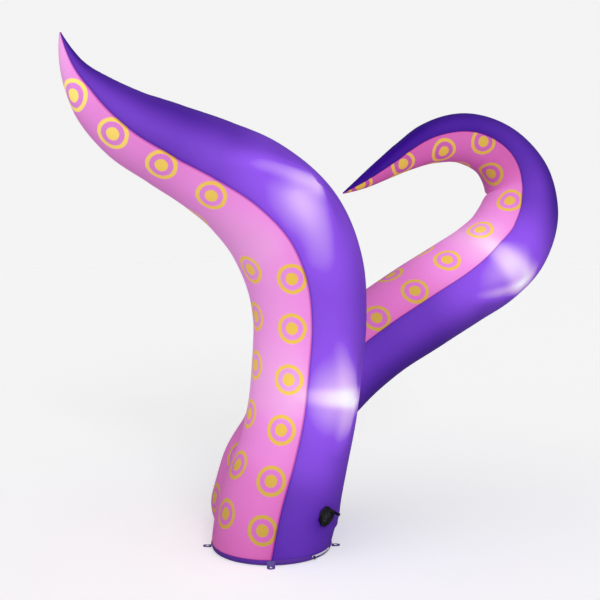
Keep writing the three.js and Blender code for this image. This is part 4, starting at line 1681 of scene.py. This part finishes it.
class INFLATABLE_OT_tabs(Operator):
    """Sew on the ground tabs and set their eyelets"""

    bl_idname = "inflatable.tabs"
    bl_label = "Ground Tabs"

    def execute(self, context):
        fittings = context.scene.inflatable_fittings
        webbing = webbing_material("Tab Webbing", fittings.tab_colour, 0.0016)
        thread = webbing_material("Sewing Thread", (0.30, 0.24, 0.42), 0.0006)
        metal = metal_material("Plated Eyelet", fittings.metal_colour, 0.3)
        for tab in TABS:
            strip = self.strip(tab)
            finish_piece(strip, webbing, "tab_webbing", f"tie_tab_{tab.name}")
            stitches = self.stitches(tab, fittings)
            finish_piece(stitches, thread, "tab_webbing")
            bm = spun(EYELET_SECTION, 64, ring=True)
            bmesh.ops.translate(bm, verts=bm.verts, vec=(TAB_EYELET * MM, 0, 0))
            bmesh.ops.transform(bm, matrix=tab_matrix(tab), verts=bm.verts)
            ring = object_from(bm, f"eyelet_ring_{tab.name}")
            mark_edges(ring)
            finish_piece(ring, metal, "eyelet_metal", f"eyelet_{tab.name}")
        return {"FINISHED"}

    def strip(self, tab):
        """A flat tape with a round end and a hole, bent down the wall and over the ground."""
        length = tab_length()
        bm = new_shape()
        bmesh.ops.create_grid(bm, x_segments=64, y_segments=24, size=0.5)
        size = Matrix.Diagonal((length * MM, TAB_WIDTH * MM, 1, 1))
        move = Matrix.Translation((length / 2 * MM, 0, 0))
        bmesh.ops.transform(bm, matrix=move @ size, verts=bm.verts)
        flat = bm.loops.layers.uv["Cloth"]
        for face in bm.faces:
            for loop in face.loops:
                loop[flat].uv = loop.vert.co.xy
        strip = object_from(bm, f"tab_{tab.name}")
        thicken(strip, TAB_THICKNESS * MM, offset=1)
        outline = self.outline(length)
        at = Matrix.Translation((flat_of_reach(TAB_EYELET) * MM, 0, 0))
        hole = cylinder("tab_hole", TAB_HOLE * MM, 0.03, 48, at)
        cut(strip, [outline], "INTERSECT")
        cut(strip, [hole])
        remove(outline)
        remove(hole)
        place = tab_matrix(tab)
        fold = length - TAB_HEM
        for vert in strip.data.vertices:
            if vert.co.z > TAB_THICKNESS / 2 * MM:
                step = smooth(vert.co.x / MM, fold - TAB_HEM_STEP, fold + TAB_HEM_STEP)
                vert.co.z += TAB_THICKNESS * MM * step
            vert.co = place @ tab_bend(vert.co)
        return strip

    def outline(self, length):
        """A block wider than the tape, with a round end as wide as it, that trims its corners."""
        radius = TAB_WIDTH / 2
        at = Matrix.Translation(((length - radius) * MM, 0, 0))
        end = cylinder("tab_end", radius * MM, 0.02, 96, at)
        body = bmesh.new()
        back = Matrix.Translation(((length - radius) / 2 * MM - 0.01, 0, 0))
        wide = Matrix.Diagonal(((length - radius) * MM + 0.02, 0.05, 0.0201, 1))
        bmesh.ops.create_cube(body, size=1, matrix=back @ wide)
        outline = object_from(body, "tab_outline")
        cut(outline, [end], "UNION")
        remove(end)
        return outline

    def stitches(self, tab, fittings):
        """Short threads in two rows on the wall and along both edges of the flat part."""
        bm = bmesh.new()
        bm.loops.layers.uv.new("Cloth")
        step = fittings.stitch / MM
        size = (0.7, 0.75 * step, 0.5)
        rows = [(s, (i - 4) * step, 0) for s in (4, 9) for i in range(9)]
        start = flat_of_reach(7)
        rows += [(start + i * step, side * 16, 90) for side in (-1, 1) for i in range(5)]
        place = tab_matrix(tab)
        for s, y, turn in rows:
            before = set(bm.verts)
            spin = Matrix.Rotation(math.radians(turn), 4, "Z")
            at = Matrix.Translation((s * MM, y * MM, (TAB_THICKNESS + 0.1) * MM))
            rounded_block(bm, size, at @ spin, 0.2, segments=1)
            for vert in set(bm.verts) - before:
                vert.co = place @ tab_bend(vert.co)
        return object_from(bm, f"tab_stitches_{tab.name}")


Block = namedtuple("Block", "size place tilt rounding segments")
# Back and front plates, the post between them, the bridge, and the pull's stem and knob
SLIDER_BLOCKS = table(
    Block,
    ((12, 1.6, 7), (0, -1.6, 0), 0, 0.7, 3),
    ((11, 1.6, 6.4), (0, 1.4, 0), 0, 0.7, 3),
    ((2.2, 3.0, 5.0), (0, 0, 0), 0, 0.4, 2),
    ((6, 1.2, 1.6), (0, 3.2, 1.6), 0, 0.5, 2),
    ((4.6, 1.1, 9.5), (0, 3.6, -5.5), PULL_TILT, 0.5, 3),
    ((5.6, 1.7, 5.4), (0, 4.4, -11.9), PULL_TILT, 0.8, 3),
)
ZIP_MIDDLE = (ZIP_LOW + ZIP_HIGH) / 2


class INFLATABLE_OT_zip(Operator):
    """Fit the closed zip in the base seam"""

    bl_idname = "inflatable.zip"
    bl_label = "Zip"

    def execute(self, context):
        fittings = context.scene.inflatable_fittings
        webbing = webbing_material("Zip Tape", fittings.zip_colour, 0.0012)
        finish_piece(self.tape(), webbing, "zip_tape", "zip_tape")
        moulding = moulded_material("Zip Teeth", (0.62, 0.60, 0.68))
        finish_piece(self.teeth(), moulding, "zip_tape")
        metal = metal_material("Black Zip Metal", (0.06, 0.055, 0.07), 0.45)
        finish_piece(self.slider(), metal, "black_metal", "zip_slider")
        return {"FINISHED"}

    def tape(self):
        """A slightly crowned tape that follows the ground panel's wall."""
        columns, rows = 48, 6

        def place(i, j):
            bearing = ZIP_FROM + (ZIP_TO - ZIP_FROM) * i / columns
            height = ZIP_LOW + (ZIP_HIGH - ZIP_LOW) * j / rows
            crown = ZIP_CROWN * math.sin(math.pi * j / rows)
            return foot_point("front", bearing, height, ZIP_LIFT + crown)

        bm, at = tube_grid(columns, rows, place)
        index = {vert: key for key, vert in at.items()}
        flat = bm.loops.layers.uv["Cloth"]
        for face in bm.faces:
            for loop in face.loops:
                i, j = index[loop.vert]
                loop[flat].uv = (i * 0.0032, j * 0.0014)
        bmesh.ops.recalc_face_normals(bm, faces=bm.faces)
        strip = object_from(bm, "zip_cloth")
        thicken(strip, ZIP_THICKNESS * MM)
        return strip

    def teeth(self):
        """A row of short teeth that step up and down along the tape's middle."""
        bm = new_shape()
        turn = math.degrees(TOOTH_STEP / FEET["front"].radius)
        count = int((ZIP_TO - ZIP_FROM - 2 * TOOTH_MARGIN) / turn)
        for i in range(count):
            bearing = ZIP_FROM + TOOTH_MARGIN + turn * i
            height = ZIP_MIDDLE + TOOTH_STAGGER * (-1) ** i
            centre = foot_point("front", bearing, height, TOOTH_LIFT)
            spin = Matrix.Rotation(math.radians(bearing + 90), 4, "Z")
            rounded_block(bm, TOOTH_SIZE, Matrix.Translation(centre) @ spin, 0.3, segments=1)
        teeth = object_from(bm, "zip_teeth")
        mark_edges(teeth)
        return teeth

    def slider(self):
        """The slider, which stands out from the wall, with its hanging pull."""
        bm = new_shape()
        for part in SLIDER_BLOCKS:
            at = Matrix.Translation(Vector(part.place) * MM) @ Matrix.Rotation(part.tilt, 4, "X")
            rounded_block(bm, part.size, at, part.rounding, segments=part.segments)
        centre = foot_point("front", SLIDER_BEARING, ZIP_MIDDLE, SLIDER_LIFT)
        spin = Matrix.Rotation(math.radians(SLIDER_BEARING + 90), 4, "Z")
        bmesh.ops.transform(bm, matrix=Matrix.Translation(centre) @ spin, verts=bm.verts)
        slider = object_from(bm, "zip_pull")
        mark_edges(slider)
        return slider


def join_shape(bm, part):
    """Adds one mesh to another and frees it."""
    mesh = bpy.data.meshes.new("part")
    part.to_mesh(mesh)
    part.free()
    bm.from_mesh(mesh)
    bpy.data.meshes.remove(mesh)


class INFLATABLE_OT_blower(Operator):
    """Fit the blower: housing, motor, guard and clip"""

    bl_idname = "inflatable.blower"
    bl_label = "Blower"

    def execute(self, context):
        fittings = context.scene.inflatable_fittings
        plastic = moulded_material("Black Moulding", fittings.blower_colour)
        steel = metal_material("Motor Steel", (0.30, 0.30, 0.32), 0.4)
        self.place(self.housing(), "blower_shell", plastic, "black_plastic", "blower_housing")
        self.place(spun(MOTOR_SECTION, 72), "blower_core", steel, "motor_steel", "blower_motor")
        self.place(self.guard(), "blower_grille", plastic, "black_plastic", "blower_guard")
        self.place(self.clip(), "blower_hook", plastic, "black_plastic", "blower_clip")
        return {"FINISHED"}

    def place(self, bm, name, material, slot, node_name):
        bmesh.ops.transform(bm, matrix=BLOWER_PLACE, verts=bm.verts)
        obj = object_from(bm, name)
        mark_edges(obj)
        finish_piece(obj, material, slot, node_name)

    def housing(self):
        bm = spun(HOUSING_SECTION, 120)
        for i in range(GRIP_RIBS):
            turn = Matrix.Rotation(2 * math.pi * i / GRIP_RIBS, 4, "Z")
            rib = turn @ Matrix.Translation(((COLLAR_RADIUS - 0.1) * MM, 0, GRIP_HEIGHT * MM))
            rounded_block(bm, GRIP_SIZE, rib, 0.6)
        return bm

    def guard(self):
        """Rings, a hub and spokes of moulded wire, higher in the middle than at the edge."""
        bm = new_shape()

        def dome(radius):
            return GUARD_RIM + GUARD_CROWN * (1 - (radius / MOUTH_RADIUS) ** 2)

        for radius in (*GUARD_RINGS, GUARD_EDGE):
            wire = [
                (radius + GUARD_WIRE * math.cos(a), dome(radius) + GUARD_WIRE * math.sin(a))
                for a in (2 * math.pi * k / WIRE_SIDES for k in range(WIRE_SIDES))
            ]
            join_shape(bm, spun(wire, 96, ring=True))
        join_shape(bm, spun([(radius, dome(0) + rise) for radius, rise in HUB_SECTION], 48))
        reaches = (GUARD_HUB - 1.5, *GUARD_RINGS, MOUTH_RADIUS - 1)
        for i in range(GUARD_SPOKES):
            turn = Matrix.Rotation(2 * math.pi * i / GUARD_SPOKES, 4, "Z")
            for near, far in zip(reaches, reaches[1:]):
                rise = math.atan2(dome(far) - dome(near), far - near)
                at = Matrix.Translation(((near + far) / 2 * MM, 0, (dome(near) + dome(far)) / 2 * MM))
                tilt = Matrix.Rotation(-rise, 4, "Y")
                size = (far - near + 1, SPOKE_WIDTH, SPOKE_THICKNESS)
                rounded_block(bm, size, turn @ at @ tilt, 0.6)
        return bm

    def clip(self):
        bm = bmesh.new()
        bm.loops.layers.uv.new("Cloth")
        side = [bm.verts.new((x * MM, -CLIP_WIDTH / 2 * MM, z * MM)) for x, z in CLIP_OUTLINE]
        face = bm.faces.new(side)
        made = bmesh.ops.extrude_face_region(bm, geom=[face])
        moved = [item for item in made["geom"] if isinstance(item, bmesh.types.BMVert)]
        bmesh.ops.translate(bm, verts=moved, vec=(0, CLIP_WIDTH * MM, 0))
        bmesh.ops.recalc_face_normals(bm, faces=bm.faces)
        bmesh.ops.bevel(
            bm,
            geom=bm.edges[:],
            offset=CLIP_ROUNDING * MM,
            offset_type="OFFSET",
            affect="EDGES",
            segments=3,
            profile=0.5,
            material=-1,
        )
        bmesh.ops.translate(bm, verts=bm.verts, vec=((COLLAR_RADIUS + COLLAR_HOLE_GAP) * MM, 0, 0))
        turn = Matrix.Rotation(math.radians(CLIP_BEARING), 4, "Z")
        lift = Matrix.Translation((0, 0, CLIP_BASE * MM))
        bmesh.ops.transform(bm, matrix=turn @ lift, verts=bm.verts)
        return bm


# ---- Operator: stage ----


Sun = namedtuple("Sun", "name side height softness")
KEY = Sun("key", 12, 14, 30)
FILL = Sun("fill", -70, 10, 60)


class INFLATABLE_OT_stage(Operator):
    """Set up the floor, the soft lights and the camera"""

    bl_idname = "inflatable.stage"
    bl_label = "Studio"

    def execute(self, context):
        studio = context.scene.inflatable_studio
        self.floor(studio)
        self.room(context, studio)
        context.scene.view_settings.view_transform = "Standard"
        self.sun(context, KEY, studio.key_power)
        self.sun(context, FILL, studio.fill_power)
        self.camera(context, studio)
        return {"FINISHED"}

    def floor(self, studio):
        """A wide pale floor, lifted a little for the camera only."""
        bm = bmesh.new()
        bmesh.ops.create_circle(bm, cap_ends=True, segments=96, radius=FLOOR_RADIUS)
        bmesh.ops.translate(bm, verts=bm.verts, vec=(0, 0, -FLOOR_DROP))
        floor = object_from(bm, "studio_floor", rounded=False)
        material, tree, shader = new_material("Pale Floor")
        tone = group_node(tree, "tone", Place=own_place(tree), Size=1.5).outputs["Tone"]
        colour = blend(tree, tone, scaled(studio.floor_colour, 0.98), studio.floor_colour)
        tree.links.new(colour, shader.inputs["Base Color"])
        shader.inputs["Roughness"].default_value = 0.9
        shader.inputs["Specular IOR Level"].default_value = 0.1
        shader.inputs["Emission Color"].default_value = (1, 1, 1, 1)
        shader.inputs["Emission Strength"].default_value = studio.floor_lift
        dull = node(tree, "ShaderNodeBsdfDiffuse", Color=(0.42, 0.42, 0.43, 1))
        shown_to_camera(tree, shader, dull, "Material Output")
        floor.data.materials.append(material)

    def room(self, context, studio):
        """Soft light from all round, stronger from one side, and a plain background."""
        world = bpy.data.worlds.new("Soft Room")
        world.use_nodes = True
        tree = world.node_tree
        background = tree.nodes["Background"]
        background.inputs["Color"].default_value = (1, 1, 1, 1)
        way = node(tree, "ShaderNodeTexCoord").outputs["Generated"]
        facing = node(
            tree, "ShaderNodeVectorMath", {"operation": "DOT_PRODUCT"}, n0=way, n1=BRIGHT_SIDE
        ).outputs["Value"]
        soft = maths(tree, "MULTIPLY_ADD", facing, 0.6 * studio.ambient, studio.ambient)
        tree.links.new(soft, background.inputs["Strength"])
        seen = node(tree, "ShaderNodeBackground", Color=(1, 1, 1, 1), Strength=studio.backdrop)
        shown_to_camera(tree, seen, background, "World Output")
        context.scene.world = world

    def sun(self, context, sun, power):
        """A soft distant light, its side counted from the camera's."""
        data = bpy.data.lights.new(sun.name, "SUN")
        data.angle = math.radians(sun.softness)
        data.energy = power
        lamp = bpy.data.objects.new(sun.name, data)
        bearing = math.radians(sun.side - CAMERA_BEARING)
        height = math.radians(sun.height)
        lamp.location = (
            LIGHT_AWAY * math.sin(bearing) * math.cos(height),
            -LIGHT_AWAY * math.cos(bearing) * math.cos(height),
            LIGHT_AWAY * math.sin(height),
        )
        lamp.rotation_euler = lamp.location.to_track_quat("Z", "Y").to_euler()
        context.scene.collection.objects.link(lamp)

    def camera(self, context, studio):
        """A camera to the left of the front foot that looks slightly down and past the foot."""
        bearing, aim = math.radians(CAMERA_BEARING), math.radians(CAMERA_AIM)
        dip = math.radians(CAMERA_DIP)
        data = bpy.data.cameras.new("camera")
        data.lens = studio.lens
        data.sensor_width = SENSOR_WIDTH
        data.clip_end = CAMERA_RANGE
        camera = bpy.data.objects.new("camera", data)
        camera.location = (
            -studio.camera_distance * math.sin(bearing),
            -studio.camera_distance * math.cos(bearing),
            studio.camera_height,
        )
        view = Vector(
            (math.sin(aim) * math.cos(dip), math.cos(aim) * math.cos(dip), -math.sin(dip))
        )
        camera.rotation_euler = view.to_track_quat("-Z", "Y").to_euler()
        context.scene.collection.objects.link(camera)
        context.scene.camera = camera


class INFLATABLE_PT_sidebar(Panel):
    """Buttons for each group of pieces"""

    bl_idname = "INFLATABLE_PT_sidebar"
    bl_label = "Inflatable Tentacles"
    bl_space_type = "VIEW_3D"
    bl_region_type = "UI"
    bl_category = "Inflatable"

    def draw(self, context):
        for operator in OPERATORS:
            self.layout.operator(operator.bl_idname)


OPERATORS = [
    INFLATABLE_OT_stage,
    INFLATABLE_OT_front_tube,
    INFLATABLE_OT_rear_tube,
    INFLATABLE_OT_base,
    INFLATABLE_OT_tabs,
    INFLATABLE_OT_zip,
    INFLATABLE_OT_blower,
]
CLASSES = [ClothSettings, FittingSettings, StudioSettings, *OPERATORS, INFLATABLE_PT_sidebar]


def register():
    for cls in CLASSES:
        bpy.utils.register_class(cls)
    bpy.types.Scene.inflatable_cloth = PointerProperty(type=ClothSettings)
    bpy.types.Scene.inflatable_fittings = PointerProperty(type=FittingSettings)
    bpy.types.Scene.inflatable_studio = PointerProperty(type=StudioSettings)


def unregister():
    for name in ("inflatable_cloth", "inflatable_fittings", "inflatable_studio"):
        delattr(bpy.types.Scene, name)
    for cls in reversed(CLASSES):
        bpy.utils.unregister_class(cls)


def main():
    register()
    for operator in OPERATORS:
        group, name = operator.bl_idname.split(".")
        getattr(getattr(bpy.ops, group), name)()


if __name__ == "__main__":
    main()
